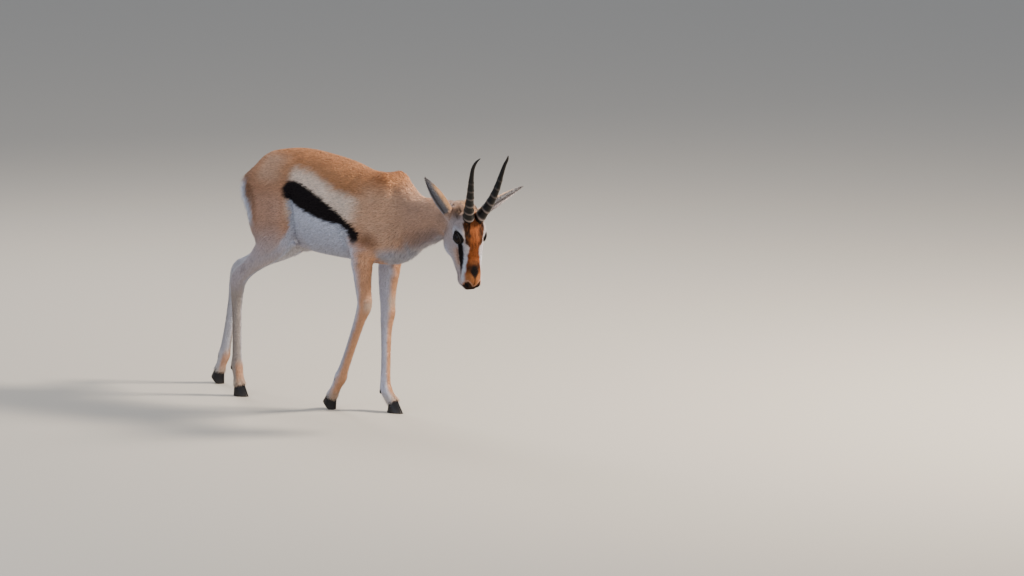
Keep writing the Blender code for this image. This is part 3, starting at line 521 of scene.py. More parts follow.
def in_opening(seen, shift=0.0):
    """How far points in an eye's axes are from the middle of its opening, which ends at 1."""
    return np.hypot(seen[:, 0] / EYE_OPENING[0], (seen[:, 1] + shift) / EYE_OPENING[1])


def ear_axes(side):
    """An ear's root, its length, and its axes: along, across, and the way that its back faces."""
    root, tip, back = EARS[side]
    place = head_matrix()
    root, tip = place @ Vector(root), place @ Vector(tip)
    way = (tip - root).normalized()
    back = place.to_3x3() @ Vector(back)
    back = (back - way * back.dot(way)).normalized()
    return root, (tip - root).length, (way, way.cross(back), back)


def apply_modifiers(obj):
    """Bakes the object's modifiers into its mesh."""
    graph = bpy.context.evaluated_depsgraph_get()
    mesh = bpy.data.meshes.new_from_object(obj.evaluated_get(graph))
    obj.modifiers.clear()
    old = obj.data
    obj.data = mesh
    bpy.data.meshes.remove(old)


def join(objects, name):
    """One object from several, which are used up."""
    bm = bmesh.new()
    for obj in objects:
        bm.from_mesh(obj.data)
        bpy.data.objects.remove(obj)
    return built(name, bm)


def melt(objects, name, voxel):
    """One closed skin around overlapping shapes."""
    obj = join(objects, name)
    remesh = obj.modifiers.new("melt", "REMESH")
    remesh.mode = "VOXEL"
    remesh.voxel_size = voxel
    apply_modifiers(obj)
    return obj


def points_of(obj):
    """The places of an object's points."""
    co = np.empty(len(obj.data.vertices) * 3, np.float32)
    obj.data.vertices.foreach_get("co", co)
    return co.reshape(-1, 3).astype(float)


def normals_of(obj):
    """The way that the surface faces at each of an object's points."""
    ways = np.empty(len(obj.data.vertices) * 3, np.float32)
    obj.data.vertex_normals.foreach_get("vector", ways)
    return ways.reshape(-1, 3).astype(float)


def place_points(obj, co):
    """Moves an object's points to new places."""
    obj.data.vertices.foreach_set("co", np.ascontiguousarray(co, np.float32).ravel())
    obj.data.update()


def neighbours(obj):
    """Both ends of each edge, taken each way round, and how many neighbours each point has."""
    edges = np.empty(len(obj.data.edges) * 2, np.int32)
    obj.data.edges.foreach_get("vertices", edges)
    edges = edges.reshape(-1, 2)
    here = np.concatenate([edges[:, 0], edges[:, 1]])
    there = np.concatenate([edges[:, 1], edges[:, 0]])
    count = np.maximum(np.bincount(here, minlength=len(obj.data.vertices)), 1)[:, None]
    return here, there, count


def mean_around(values, here, there, count):
    """The mean of its neighbours' values at each point."""
    total = [np.bincount(here, values[there, k], len(values)) for k in range(3)]
    return np.stack(total, axis=1) / count


def relax(obj, rounds, share):
    """Smooths an object: share is how much of each round's move every point takes."""
    co = points_of(obj)
    near = neighbours(obj)
    share = np.broadcast_to(np.asarray(share, float), (len(co),))[:, None]
    for _ in range(rounds):
        co = co + (mean_around(co, *near) - co) * share
    place_points(obj, co)


def softened(obj, values, rounds):
    """Directions at an object's points, each drawn towards its neighbours' and of length one."""
    near = neighbours(obj)
    for _ in range(rounds):
        values = values * 0.4 + mean_around(values, *near) * 0.6
    return values / np.maximum(np.linalg.norm(values, axis=1), 1e-6)[:, None]


def write_values(mesh, name, kind, values):
    """Keeps a value for each point on a mesh, by name."""
    layer = mesh.attributes.new(name, kind, "POINT")
    field = {"FLOAT": "value", "INT": "value", "FLOAT_VECTOR": "vector", "FLOAT_COLOR": "color"}[kind]
    number = np.int32 if kind == "INT" else np.float32
    layer.data.foreach_set(field, np.ascontiguousarray(values, number).ravel())


def combine(obj, other, operation):
    """Joins another shape to an object, or cuts it away. The other shape is used up."""
    change = obj.modifiers.new("combine", "BOOLEAN")
    change.operation = operation
    change.object = other
    change.solver = "MANIFOLD"
    apply_modifiers(obj)
    bpy.data.objects.remove(other)


def step(x, low, high):
    """Rises smoothly from 0 at low to 1 at high."""
    t = np.clip((np.asarray(x, float) - low) / (high - low), 0, 1)
    return t * t * (3 - 2 * t)


def fall(x, low, high):
    """Falls smoothly from 1 at low to 0 at high."""
    return 1 - step(x, low, high)


def bell(x, centre, width):
    """Rises to 1 at the centre and falls away within about the width on each side."""
    return np.exp(-(((x - centre) / width) ** 2))


def blend(base, other, share):
    """Numbers between two others."""
    return base * (1 - share) + other * share


def oval(points, centre, reach):
    """How far points are from a centre, where 1 is on an oval with these half sizes."""
    return np.linalg.norm((points - np.array(centre)) / np.array(reach), axis=1)


def rumple(co, scale, shift=0.0):
    """Even noise from -1 to 1 at each point. scale is the size of its lumps."""
    return np.array([noise.noise((x / scale + shift, y / scale, z / scale)) for x, y, z in co])


# The skin

def lumps(rows, place=None):
    """Balls on both sides of the body, from rows for its right side."""
    made = []
    for centre, reach, turn in rows:
        for _, sign in SIDES:
            mirrored = (turn[0] * -sign, turn[1], turn[2] * -sign)
            spot = (centre[0], -sign * centre[1], centre[2])
            made.append(ball("lump", spot, reach, mirrored, place))
    return made


def soft_body():
    """The trunk, the neck and the roots of the legs, with their muscles, melted and smoothed."""
    shapes = [
        add_object("trunk", *tube(TRUNK, (0, 0, 1), 48, 8, upright=(1, 0, 0))),
        add_object("neck_core", *tube(NECK, (0, 0, 1), 48, 8)),
    ]
    for sections in LEGS.values():
        shapes.append(add_object("leg_root", *tube(sections[:7], (1, 0, 0), 32, 6)))
    body = melt(shapes + lumps(TRUNK_LUMPS), "soft_body", SOFT_VOXEL)
    high = points_of(body)[:, 2]
    relax(body, BODY_ROUNDS, 0.5 * step(high, 0.330, 0.420))
    return body


def ear_skin(side):
    """A cupped ear: the outer skin, the inner skin and the rim between them."""
    root, length, (way, wide, back) = ear_axes(side)
    steps = 40
    rows = smooth_rows(EAR_SHAPE, 8)
    skins = []
    for thin in (EAR_SKIN, EAR_THICKNESS):
        skin = []
        for far, width, around in rows:
            half = math.radians(min(around, EAR_SHAPE[0][2]))
            radius = width / (math.sin(half) if half < math.pi / 2 else 1.0)
            centre = root + way * length * far * 0.995 + back * (math.sin(far * math.pi) * 0.004)
            shell = max(radius - min(thin, width * 0.6), EAR_SKIN)
            for k in range(steps + 1):
                angle = half * (2 * k / steps - 1)
                up = (shell * math.cos(angle) - radius * EAR_SINK) * EAR_FLATNESS
                skin.append(centre + wide * shell * math.sin(angle) + back * up)
        skins.append(skin)
    count, around = len(rows), steps + 1
    verts = skins[0] + skins[1]
    shift = count * around
    faces = []
    for ring in range(count - 1):
        for k in range(steps):
            a = ring * around + k
            faces.append((a, a + 1, a + 1 + around, a + around))
            faces.append((a + shift, a + around + shift, a + 1 + around + shift, a + 1 + shift))
        for k in (0, steps):
            a = ring * around + k
            faces.append((a, a + around, a + around + shift, a + shift))
    for k in range(steps):
        faces.append((k, k + 1, k + 1 + shift, k + shift))
        a = (count - 1) * around + k
        faces.append((a, a + 1, a + 1 + shift, a + shift))
    return add_object("ear_skin", verts, faces)


def coat_depth(co):
    """How far the skin lies under the tips of the coat at each point."""
    depth = 0.0006 + 0.0014 * step(co[:, 2], 0.300, 0.400)
    face = 0.0010 - 0.0006 * step(in_head(co)[:, 0], 0.100, 0.190)
    return blend(depth, face, step(past_cut(co), -0.010, 0.020))


def folded(co, way):
    """Points moved inwards along the folds of the skin, and how much painted shade each gets in a
    fold.
    """
    flat = co[:, (0, 2)]
    depth = np.zeros(len(co))
    dark = np.zeros(len(co))
    for path, deep, reach, fold_shade in FOLDS:
        near = to_path(flat, [(x, z, 0.0) for x, z in path])
        here = np.exp(-((near / reach) ** 2)) * step(np.abs(co[:, 1]), 0.026, 0.040)
        here *= step(np.abs(way[:, 1]), 0.15, 0.45)
        depth += here * deep
        # Painted shade in each fold.
        dark = np.maximum(dark, here * fold_shade)
    turn = np.abs(np.degrees(np.arctan2(np.abs(way[:, 1]), way[:, 0])))
    sinew = bell(turn, 112, 17) * step(co[:, 2], 0.085, 0.110)
    sinew *= fall(co[:, 2], 0.205, 0.250)
    depth += 0.0013 * sinew
    # Painted shade in the groove along the sinew of each lower leg.
    dark = np.maximum(dark, 0.30 * sinew)
    tuck = to_path(flat, [(x + 0.014, z, 0.0) for x, z in FOLDS[0][0]])
    tuck = bell(tuck, 0.0, 0.016) * (flat[:, 0] > -0.075)
    depth += 0.0035 * tuck * step(np.abs(co[:, 1]), 0.03, 0.05)
    return co - way * depth[:, None], dark


def thin_out(skin, plain):
    """Leaves about SKIN_TRIANGLES on the skin. Its plain points lose more than the others."""
    group = skin.vertex_groups.new(name="plain")
    for index in plain:
        group.add([int(index)], 1.0, "ADD")
    bm = bmesh.new()
    bm.from_mesh(skin.data)
    bmesh.ops.triangulate(bm, faces=bm.faces)
    bm.to_mesh(skin.data)
    bm.free()
    thin = skin.modifiers.new("thin", "DECIMATE")
    thin.ratio = SKIN_TRIANGLES / len(skin.data.polygons)
    thin.vertex_group = "plain"
    thin.vertex_group_factor = 0.5
    apply_modifiers(skin)
    skin.vertex_groups.clear()


def whole_skin():
    """One skin around the whole body, with lids, nostrils and the line of the mouth."""
    place = head_matrix()
    verts, faces = tube(HEAD, (0, 0, 1), 56, 8, upright=(1, 0, 0))
    shapes = [
        soft_body(),
        add_object("skull", [place @ Vector(v) for v in verts], faces),
        add_object("neck_end", *tube(NECK[3:], (0, 0, 1), 48, 8)),
        add_object("tail_core", *tube(TAIL, (-1, 0, 0), 24, 6)),
    ]
    for sections in LEGS.values():
        end = np.array(sections[-1])
        way = end[:3] - np.array(sections[-2][:3])
        longer = sections[2:] + ((*(end[:3] + way / np.linalg.norm(way) * 0.003), *end[3:] * 0.94),)
        shapes.append(add_object("leg_core", *tube(longer, (1, 0, 0), 40, 8)))
    skin = melt(shapes + lumps(HEAD_LUMPS, place), "skin", SKIN_VOXEL)

    co = points_of(skin)
    low_leg = fall(co[:, 2], 0.300, 0.380)
    share = 0.5 * (1 - 0.75 * low_leg) * (1 - 0.1 * step(past_cut(co), *HEAD_EDGE))
    relax(skin, SKIN_ROUNDS, share)
    co = points_of(skin)
    relax(skin, NAPE_ROUNDS, 0.5 * bell(past_cut(co), 0.010, 0.025) * (co[:, 2] > 0.40))
    co, dark = folded(points_of(skin), normals_of(skin))
    place_points(skin, co)
    relax(skin, FOLD_ROUNDS, 0.4 * (dark > 0.02))
    co = points_of(skin)
    co -= normals_of(skin) * coat_depth(co)[:, None]
    place_points(skin, co)
    thin_out(skin, np.flatnonzero(step(past_cut(co), *HEAD_EDGE) < 0.5))

    for side, _ in SIDES:
        combine(skin, ear_skin(side), "UNION")
    for _, sign in SIDES:
        lid = ball("lid", (0, 0, 0), (EYE_RADIUS + LID,) * 3, (0, 0, 0), eye_frame(sign), 5)
        combine(skin, lid, "UNION")
    soften(skin)
    for _, sign in SIDES:
        axes = eye_frame(sign)
        reach = (*EYE_OPENING, EYE_RADIUS * 0.9)
        combine(skin, ball("slot", (0, 0, EYE_RADIUS), reach, (0, 0, 0), axes, 5), "DIFFERENCE")
        reach = (EYE_RADIUS + EYE_GAP,) * 3
        combine(skin, ball("socket", (0, 0, 0), reach, (0, 0, 0), axes, 5), "DIFFERENCE")
        centre, reach, turn = NOSTRIL
        spot = (centre[0], sign * centre[1], centre[2])
        mirrored = (turn[0] * sign, turn[1], turn[2] * sign)
        combine(skin, ball("nostril", spot, reach, mirrored, place, 4), "DIFFERENCE")
    points = [Vector(point) for point in MOUTH]
    points += [Vector((a, -b, c)) for a, b, c in reversed(MOUTH[:-1])]
    sections = []
    for row in smooth_rows([tuple(point) for point in points], 5):
        _, spot, _, _ = skin.closest_point_on_mesh(place @ Vector(row))
        sections.append((*spot, MOUTH_GROOVE, MOUTH_GROOVE, MOUTH_GROOVE))
    front = place.to_3x3() @ Vector((0, 0.1, 1))
    combine(skin, add_object("groove", *tube(sections, front, 12, 1)), "DIFFERENCE")
    return skin


def soften(skin):
    """Smooths the seams where the ears and the lids join the head."""
    co = points_of(skin)
    place = head_matrix()
    share = np.zeros(len(co))
    for side, sign in SIDES:
        seen = in_eye(co, sign)
        away = np.linalg.norm(seen, axis=1)
        near = fall(np.abs(away - EYE_RADIUS - LID), 0.0015, 0.0045)
        share = np.maximum(share, near * step(in_opening(seen), 1.15, 1.45) * (seen[:, 2] > 0))
        root, tip, _ = EARS[side]
        spot = np.array(place @ (Vector(root).lerp(Vector(tip), 0.10)))
        share = np.maximum(share, fall(np.linalg.norm(co - spot, axis=1), 0.014, 0.022))
    relax(skin, SEAM_ROUNDS, share * 0.5)


# Markings

def to_path(points, path):
    """How far points are from a path, less the path's half width there, its last number."""
    path = np.array(path, float)
    best = np.full(len(points), 1e9)
    for a, b in zip(path[:-1], path[1:]):
        way = b[:-1] - a[:-1]
        t = np.clip((points - a[:-1]) @ way / (way @ way), 0, 1)
        near = a[:-1] + t[:, None] * way
        away = np.linalg.norm(points - near, axis=1) - (a[-1] + (b[-1] - a[-1]) * t)
        best = np.minimum(best, away)
    return best


def near_tail(co, more):
    """Which points are on the tail, or this much outside it."""
    return to_path(co, [(*row[:3], max(row[3:]) + more) for row in TAIL[1:]]) < 0


def to_outline(flat, outline):
    """How far points are outside a closed outline in the plane. Inside it is below zero."""
    outline = np.array(outline, float)
    best = np.full(len(flat), 1e9)
    inside = np.zeros(len(flat), bool)
    for a, b in zip(outline, np.roll(outline, -1, axis=0)):
        way = b - a
        t = np.clip((flat - a) @ way / (way @ way), 0, 1)
        best = np.minimum(best, np.linalg.norm(flat - a - t[:, None] * way, axis=1))
        if a[1] != b[1]:
            crosses = (a[1] > flat[:, 1]) != (b[1] > flat[:, 1])
            inside ^= crosses & (flat[:, 0] < a[0] + (flat[:, 1] - a[1]) / way[1] * way[0])
    return np.where(inside, -best, best)


def mix(base, colour, share):
    """Colours or ways between two others, with a share for each point."""
    share = np.clip(share, 0, 1)[:, None]
    return base * (1 - share) + colour * share


# Outline of the flank's black band, from its blunt rear end to the elbow and back: x and z.
BAND = (
    (-0.088, 0.550), (-0.070, 0.561), (-0.031, 0.560), (0.005, 0.546), (0.052, 0.529),
    (0.096, 0.504), (0.129, 0.483), (0.154, 0.469), (0.168, 0.454), (0.169, 0.436),
    (0.160, 0.424), (0.141, 0.424), (0.137, 0.443), (0.131, 0.456), (0.110, 0.470),
    (0.070, 0.473), (0.035, 0.482), (-0.011, 0.494), (-0.035, 0.500), (-0.055, 0.508),
    (-0.074, 0.513), (-0.087, 0.522),
)
# Upper edge of the sandy band above it, and outline of the white below it: x and z.
SANDY_TOP = (
    (-0.200, 0.575), (-0.161, 0.588), (-0.102, 0.597), (-0.050, 0.599), (0.000, 0.594),
    (0.034, 0.582), (0.083, 0.562), (0.122, 0.552), (0.170, 0.545), (0.250, 0.545),
)
WHITE_AREA = (
    (-0.300, 0.320), (-0.220, 0.338), (-0.170, 0.358), (-0.128, 0.374), (-0.098, 0.392),
    (-0.074, 0.420), (-0.064, 0.450), (-0.061, 0.480), (-0.067, 0.502), (-0.078, 0.528),
    (-0.050, 0.530), (0.000, 0.515), (0.070, 0.490), (0.120, 0.480), (0.146, 0.450),
    (0.146, 0.424), (0.170, 0.402), (0.215, 0.408), (0.250, 0.420), (0.280, 0.428),
    (0.320, 0.437), (0.350, 0.446), (0.400, 0.462), (0.460, 0.478), (0.480, 0.200),
    (-0.300, 0.200),
)
# Half width of the face's rust blaze: how far down the face, and the half width there.
BLAZE_WIDTH = (
    (0.036, 0.020), (0.060, 0.0285), (0.072, 0.0285), (0.092, 0.0262), (0.1075, 0.0235),
    (0.117, 0.0140), (0.126, 0.0138), (0.139, 0.0155), (0.160, 0.0176), (0.180, 0.0192),
    (0.200, 0.0190),
)
# Lines on the side of the face: how far down, how far forwards, and the half width there.
BRIGHT_LINE = (
    (0.094, 0.038, 0.002), (0.1186, 0.035, 0.0035), (0.140, 0.0300, 0.005),
    (0.1588, 0.0255, 0.0060), (0.1780, 0.0185, 0.005), (0.198, 0.012, 0.002),
)
BROWN_LINE = ((0.118, 0.0130, 0.003), (0.135, 0.0090, 0.0035), (0.152, 0.0060, 0.002))
BLACK_LINE = (
    (0.098, 0.0260, 0.0050), (0.106, 0.0262, 0.0056), (0.118, 0.0248, 0.0062),
    (0.131, 0.0215, 0.0076), (0.145, 0.0190, 0.0070), (0.156, 0.0165, 0.0052),
    (0.166, 0.0130, 0.0036), (0.178, 0.0080, 0.0024), (0.190, 0.0030, 0.0010),
)
MOUTH_LINE = (
    (0.174, -0.0050, 0.0006), (0.186, -0.0078, 0.0010), (0.205, -0.0096, 0.0012),
    (0.225, -0.0100, 0.0012),
)


def body_paint(co, way, soft_way):
    """Colours of the trunk, the neck and the legs. soft_way is the surface's way, softened."""
    x, y, z = co.T
    side = np.abs(y)
    broad = rumple(co, 0.045)
    small = rumple(co, 0.012, 3.0)
    fine = rumple(co, 0.005, 7.0)
    ragged = 0.0022 * small + 0.0016 * fine

    colour = np.tile(BACK, (len(co), 1))
    spine = step(z, 0.585, 0.640) * (0.35 + 0.65 * step(x, -0.10, 0.10))
    colour = mix(colour, BACK_DARK, spine * (0.45 + 0.35 * broad))
    colour = mix(colour, THIGH, step(-x, 0.040, 0.105) * fall(z, 0.49, 0.58))
    withers = bell(x, 0.205, 0.050) * step(z, 0.560, 0.600)
    colour = mix(colour, BACK_DARK, withers * 0.55)
    croup = step(-x, 0.060, 0.140) * fall(-x, 0.165, 0.205)
    croup *= step(z, 0.530, 0.570) * fall(z, 0.600, 0.625)
    colour = mix(colour, SANDY, croup * 0.30)
    sandy_top = np.interp(x, *np.array(SANDY_TOP).T)
    under = fall(z + 0.010 * small, sandy_top - 0.024, sandy_top + 0.004)
    along_band = step(x, -0.088, -0.052) * fall(x, 0.120, 0.200)
    colour = mix(colour, SANDY, under * along_band * step(z, 0.44, 0.50))
    shoulder = step(x, 0.130, 0.200) * fall(z, 0.535, 0.585)
    colour = mix(colour, SHOULDER, shoulder * 0.9)
    # Painted shade on the rear end of the body.
    colour = mix(colour, THIGH * 0.62, step(-x, 0.170, 0.225) * step(z, 0.42, 0.48) * 0.8)
    # Painted shade in the hollow between the arm and the brisket, under the shoulder.
    elbow_shade = np.hypot((x - 0.197) / 0.042, (z - 0.432) / 0.034)
    colour = mix(colour, BACK_DARK * 0.45, fall(elbow_shade, 0.2, 1.1) * step(side, 0.030, 0.045) * 0.70)
    neck = step(x, 0.230, 0.330)
    colour = mix(colour, NECK_GREY, neck * (1 - 0.55 * step(way[:, 2], 0.3, 0.9)))
    colour = mix(colour, NECK_LOW, neck * step(-way[:, 2], 0.1, 0.6) * 0.8)
    rust = step(x, 0.135, 0.155) * fall(x, 0.180, 0.200) * bell(z, 0.412, 0.016)
    colour = mix(colour, BACK_DARK, rust * step(side, 0.040, 0.055) * 0.7)
    colour *= (1 + 0.10 * broad + 0.06 * small)[:, None]

    arm = step(x, 0.128, 0.142) * fall(x, 0.205, 0.228) * step(side, 0.036, 0.048)
    edge = to_outline(co[:, (0, 2)], WHITE_AREA) + ragged
    soft = 0.003 + 0.012 * step(x, 0.17, 0.22)
    white = fall(edge / soft, -1.0, 1.0)
    below = step(-way[:, 2], 0.25, 0.75) * (z > 0.33) * (x < 0.30)
    white = np.maximum(white, below * step(x, -0.075, -0.060))
    throat = step(-way[:, 2], 0.55, 0.90) * step(x, 0.30, 0.34)
    white = np.maximum(white, throat * 0.7)
    white = np.where(x < -0.070, white * fall(z, 0.425, 0.445), white) * (1 - arm)
    belly = mix(WHITE, BELLY_SHADE, step(-way[:, 2], -0.1, 0.6) * 0.5)
    # The chest's white hair, greyed with painted shade.
    belly = mix(belly, BRISKET_IN_SHADE, step(x, 0.150, 0.210) * 0.8)
    belly = belly * (1 - 0.05 * np.abs(small))[:, None]
    colour = mix(colour, belly, white)
    # The inner sides of the thighs get painted shade.
    inner_shade = step(-way[:, 1] * np.sign(y), 0.1, 0.6) * (side > 0.012) * (z < 0.44) * (x < 0.05)
    colour = mix(colour, THIGH_INSIDE_SHADE, inner_shade)

    band = to_outline(co[:, (0, 2)], BAND) + ragged * 1.3
    black = fall(band, -0.0015, 0.0015) * (side > 0.030)
    colour = mix(colour, BLACK, black)

    colour = leg_paint(co, soft_way, colour, small)
    colour = rump_paint(co, soft_way, colour, ragged)
    # Painted shade in the folds of the skin and along the sinews darkens the colours.
    _, dark = folded(co, way)
    return colour * (1 - 0.55 * dark)[:, None]


def leg_paint(co, way, colour, small):
    """Tan down the front and the outer side of each leg, and pale behind and inside."""
    x, y, z = co.T
    side = np.abs(y)
    turn = np.degrees(np.arctan2(way[:, 1] * np.sign(y), way[:, 0]))
    fore = x > -0.02

    away = np.abs((turn - 28 + 180) % 360 - 180) + 10 * small
    tan = fall(away, 42, 92)
    outer = step(side, 0.036, 0.048)
    low = fall(z, 0.372 + 0.035 * outer, 0.400 + 0.040 * outer)
    low *= np.where(z > 0.362, step(x, 0.112, 0.128) * fall(x, 0.200, 0.222), 1.0) * fore
    legs = mix(LEG_PALE, LEG_TAN, tan)
    colour = mix(colour, legs, low)

    away = np.abs((turn - 66 + 180) % 360 - 180) + 5 * small
    outward = fall(away, 50, 92)
    edge = fall(np.abs((turn + 4 + 180) % 360 - 180), 20, 44)
    legs = mix(HIND_PALE, HIND_OUTER, outward)
    legs = mix(legs, HIND_CANNON, outward * fall(z, 0.250, 0.300))
    legs = mix(legs, WHITE, edge * step(z, 0.270, 0.310) * 0.9)
    pastern = fall(z, 0.070, 0.100) * step(way[:, 0], 0.1, 0.6)
    legs = mix(legs, LEG_TAN, pastern * 0.85)
    low = fall(z + 0.10 * (x + 0.15), 0.350, 0.470) * ~fore
    colour = mix(colour, legs, low)

    foot = fall(z, 0.032, 0.056)
    colour = mix(colour, WHITE_WARM, foot * 0.55)
    knee = bell(z, 0.272, 0.016) * fore * step(way[:, 0], 0.3, 0.8)
    return mix(colour, WHITE_WARM, knee * 0.55)


def rump_paint(co, way, colour, ragged):
    """The white patch round the tail, with its dark edge."""
    x, y, z = co.T
    side = np.abs(y)
    facing = -way[:, 0] + 7 * ragged
    high = step(z - 0.030 * step(side, 0.024, 0.044), 0.395, 0.430)
    high *= fall(z - 0.03 * (side < 0.02), 0.532, 0.560)
    behind = (x < -0.150) * high
    patch = np.maximum(step(facing, 0.30, 0.42) * (side < 0.085),
                       step(facing, 0.0, 0.2) * (side < 0.030))
    line = bell(facing, 0.24, 0.06) * step(z, 0.43, 0.46) * (side > 0.035)
    colour = mix(colour, BACK_DARK * 0.45, line * 0.45 * behind)
    colour = mix(colour, WHITE, patch * behind)
    on_tail = near_tail(co, 0.002) & (z < TAIL_BELOW + 0.014) & (x < TAIL_BEHIND)
    colour[on_tail] = BLACK * 0.8
    root = on_tail & (z > 0.515)
    colour[root] = mix(colour[root], BACK_DARK * 0.45, step(z[root], 0.515, 0.550) * 0.7)
    return colour


def face_paint(co, way):
    """Colours of the head, in its own axes."""
    local = in_head(co)
    face = way @ np.array(head_matrix().to_3x3())
    along, left, front = local.T
    side = np.abs(left + 0.0030 * step(along, 0.105, 0.140))
    small = rumple(local, 0.006, 1.0)
    broad = rumple(local, 0.020, 5.0)
    ragged = 0.0012 * small
    colour = np.tile(FACE_PALE, (len(co), 1))
    away = past_cut(co)
    nape = np.maximum(fall(away + 4 * ragged, 0.008, 0.036),
                      fall(away + 6 * ragged, 0.020, 0.078) * fall(along, 0.060, 0.105))
    colour = mix(colour, NECK_GREY, nape)
    colour = mix(colour, WHITE, step(-front, 0.010, 0.040) * step(along, 0.090, 0.130) * 0.8)
    colour = mix(colour, SHOULDER, fall(front, 0.012, 0.022) * step(front, -0.012, 0.000)
                 * step(along, 0.112, 0.124) * fall(along, 0.150, 0.170) * 0.55)
    poll = fall(along, 0.030, 0.055)
    colour = mix(colour, POLL, poll * step(front, -0.030, 0.0))
    colour = mix(colour, EAR_TAN, poll * step(front, 0.0, 0.02) * (side < 0.012) * 0.7)

    wide = np.interp(along, *np.array(BLAZE_WIDTH).T)
    blaze = fall(side - wide + ragged * 1.8, -0.0014, 0.0014) * step(face[:, 2], -0.10, 0.15)
    blaze *= step(along, 0.030, 0.044) * step(front, 0.005, 0.012)
    streak = rumple(local * np.array((0.35, 1.0, 1.0)), 0.0022, 4.0)
    mottle = rumple(local * np.array((0.40, 1.0, 1.0)), 0.0042, 9.0)
    outer = fall(along, 0.106, 0.122) * step(side + 0.003 * mottle, 0.0085, 0.0150)
    rust = mix(BLAZE, BLAZE_DARK, outer * (0.86 + 0.5 * mottle))
    rust = mix(rust, BLAZE_DARK, np.clip(0.14 + 1.3 * mottle + 0.5 * streak, 0, 1) * 0.60)
    bridge = step(along, 0.088, 0.120) * fall(along, 0.140, 0.152)
    rust *= (1 - 0.38 * bridge)[:, None] * np.array((1.0, 1.0 - 0.12, 1.0 - 0.3)) ** bridge[:, None]
    rim = step(side, wide - 0.003, wide - 0.001)
    rust = mix(rust, BLAZE_DARK, rim * 0.5 * fall(along, 0.105, 0.115))
    colour = mix(colour, rust, blaze)

    flat = np.stack([along, front], axis=1)
    sides = step(side, 0.014, 0.018)
    bright = to_path(flat, BRIGHT_LINE)
    shine = fall(bright, -0.001, 0.0020) * sides * (1 - blaze)
    colour = mix(colour, FACE_WHITE, shine * (0.45 + 0.55 * step(along, 0.128, 0.150)))
    beside = to_path(flat, BROWN_LINE)
    colour = mix(colour, CHEEK_BROWN, fall(beside + ragged * 2, -0.003, 0.004) * sides * 0.6)
    for _, sign in SIDES:
        seen = in_eye(co, sign)
        pale = fall(in_opening(seen), 1.60, 2.40) * (seen[:, 2] > 0.002)
        colour = mix(colour, FACE_WHITE, pale * 0.6 * (left * sign > 0) * (1 - blaze))
    cream = bell(side - wide, 0.0016, 0.0010) * step(along, 0.070, 0.080)
    colour = mix(colour, POLL, cream * fall(along, 0.112, 0.122) * (front > 0.020) * 0.8)
    dark = to_path(flat, BLACK_LINE)
    fade = 1 - 0.6 * step(along, 0.156, 0.184)
    colour = mix(colour, BLACK, fall(dark + ragged * 1.5, -0.0016, 0.0014) * sides * fade)

    nose = step(along, 0.176, 0.184) * step(front, 0.006, 0.012)
    nose *= step(face[:, 2] + face[:, 0], 0.0, 0.5)
    colour = mix(colour, NOSE_TAN, nose * fall(side, 0.0195, 0.0215))
    cream = bell(side, 0.0212, 0.0020) * step(along, 0.180, 0.188) * step(front, 0.004, 0.010)
    colour = mix(colour, FACE_WHITE, cream * 0.8)
    smoke = bell(along, 0.1650, 0.0110) * fall(side, 0.013, 0.020)
    colour = mix(colour, BLAZE_DARK * 0.6, smoke * step(face[:, 2], 0.2, 0.5) * 0.85)
    spot = np.hypot((along - 0.1740) / 0.0150, side / 0.0125) + 0.12 * small
    colour = mix(colour, NOSE_BLACK, fall(spot, 0.50, 1.15) * step(front, 0.01, 0.02))
    wedge = np.interp(along, (0.174, 0.182, 0.190, 0.199), (0.0095, 0.0075, 0.0034, 0.0004))
    seam = fall(side - wedge, -0.0012, 0.0016) * step(along, 0.172, 0.176) * step(front, 0.004, 0.010)
    colour = mix(colour, NOSE_BLACK, seam * 0.85 * fall(along, 0.190, 0.197))
    colour = mix(colour, BLAZE_DARK, fall(side, 0.0006, 0.0018) * step(along, 0.188, 0.194)
                 * step(front, 0.004, 0.010) * 0.8)

    halved = np.stack([along, side, front], axis=1)
    hole = oval(halved, NOSTRIL[0], (0.0098, 0.0060, 0.0062))
    colour = mix(colour, NOSE_BLACK, fall(hole, 0.85, 1.15))
    lip = along - 0.2120 + 1.1 * np.clip(side - 0.0030, 0.0, 0.012)
    rim = bell(lip, -0.0022, 0.0014) * step(front, 0.004, 0.010)
    colour = mix(colour, SANDY, rim * 0.30)
    beyond = step(lip, -0.0008, 0.0012) * step(front, 0.000, 0.006) * fall(side, 0.0160, 0.0185)
    colour = mix(colour, NOSE_BLACK, beyond * 0.92)
    mouth = to_path(flat, MOUTH_LINE)
    colour = mix(colour, NOSE_BLACK, fall(mouth, 0.0, 0.0012) * 0.8)

    for _, sign in SIDES:
        seen = in_eye(co, sign)
        ring = in_opening(seen, sign * 0.0016)
        rim = fall(ring + 0.03 * small, 1.26, 1.44) * (seen[:, 2] > 0.002)
        colour = mix(colour, NOSE_BLACK, rim * (left * sign > 0))
    patch = oval(halved, (0.035, 0.027, 0.021), (0.021, 0.015, 0.017))
    patch = fall(patch, 0.35, 1.25) * (0.70 + 0.6 * mottle + 0.4 * streak)
    colour = mix(colour, BLAZE_DARK * 1.1, patch * (1 - blaze))
    specks = step(-front, -0.040, -0.020) * fall(along, 0.070, 0.090) * step(streak, 0.20, 0.45)
    colour = mix(colour, BLAZE_DARK, specks * 0.35 * (1 - blaze) * step(along, 0.035, 0.050))
    return colour * (1 + 0.06 * small + 0.05 * broad)[:, None]


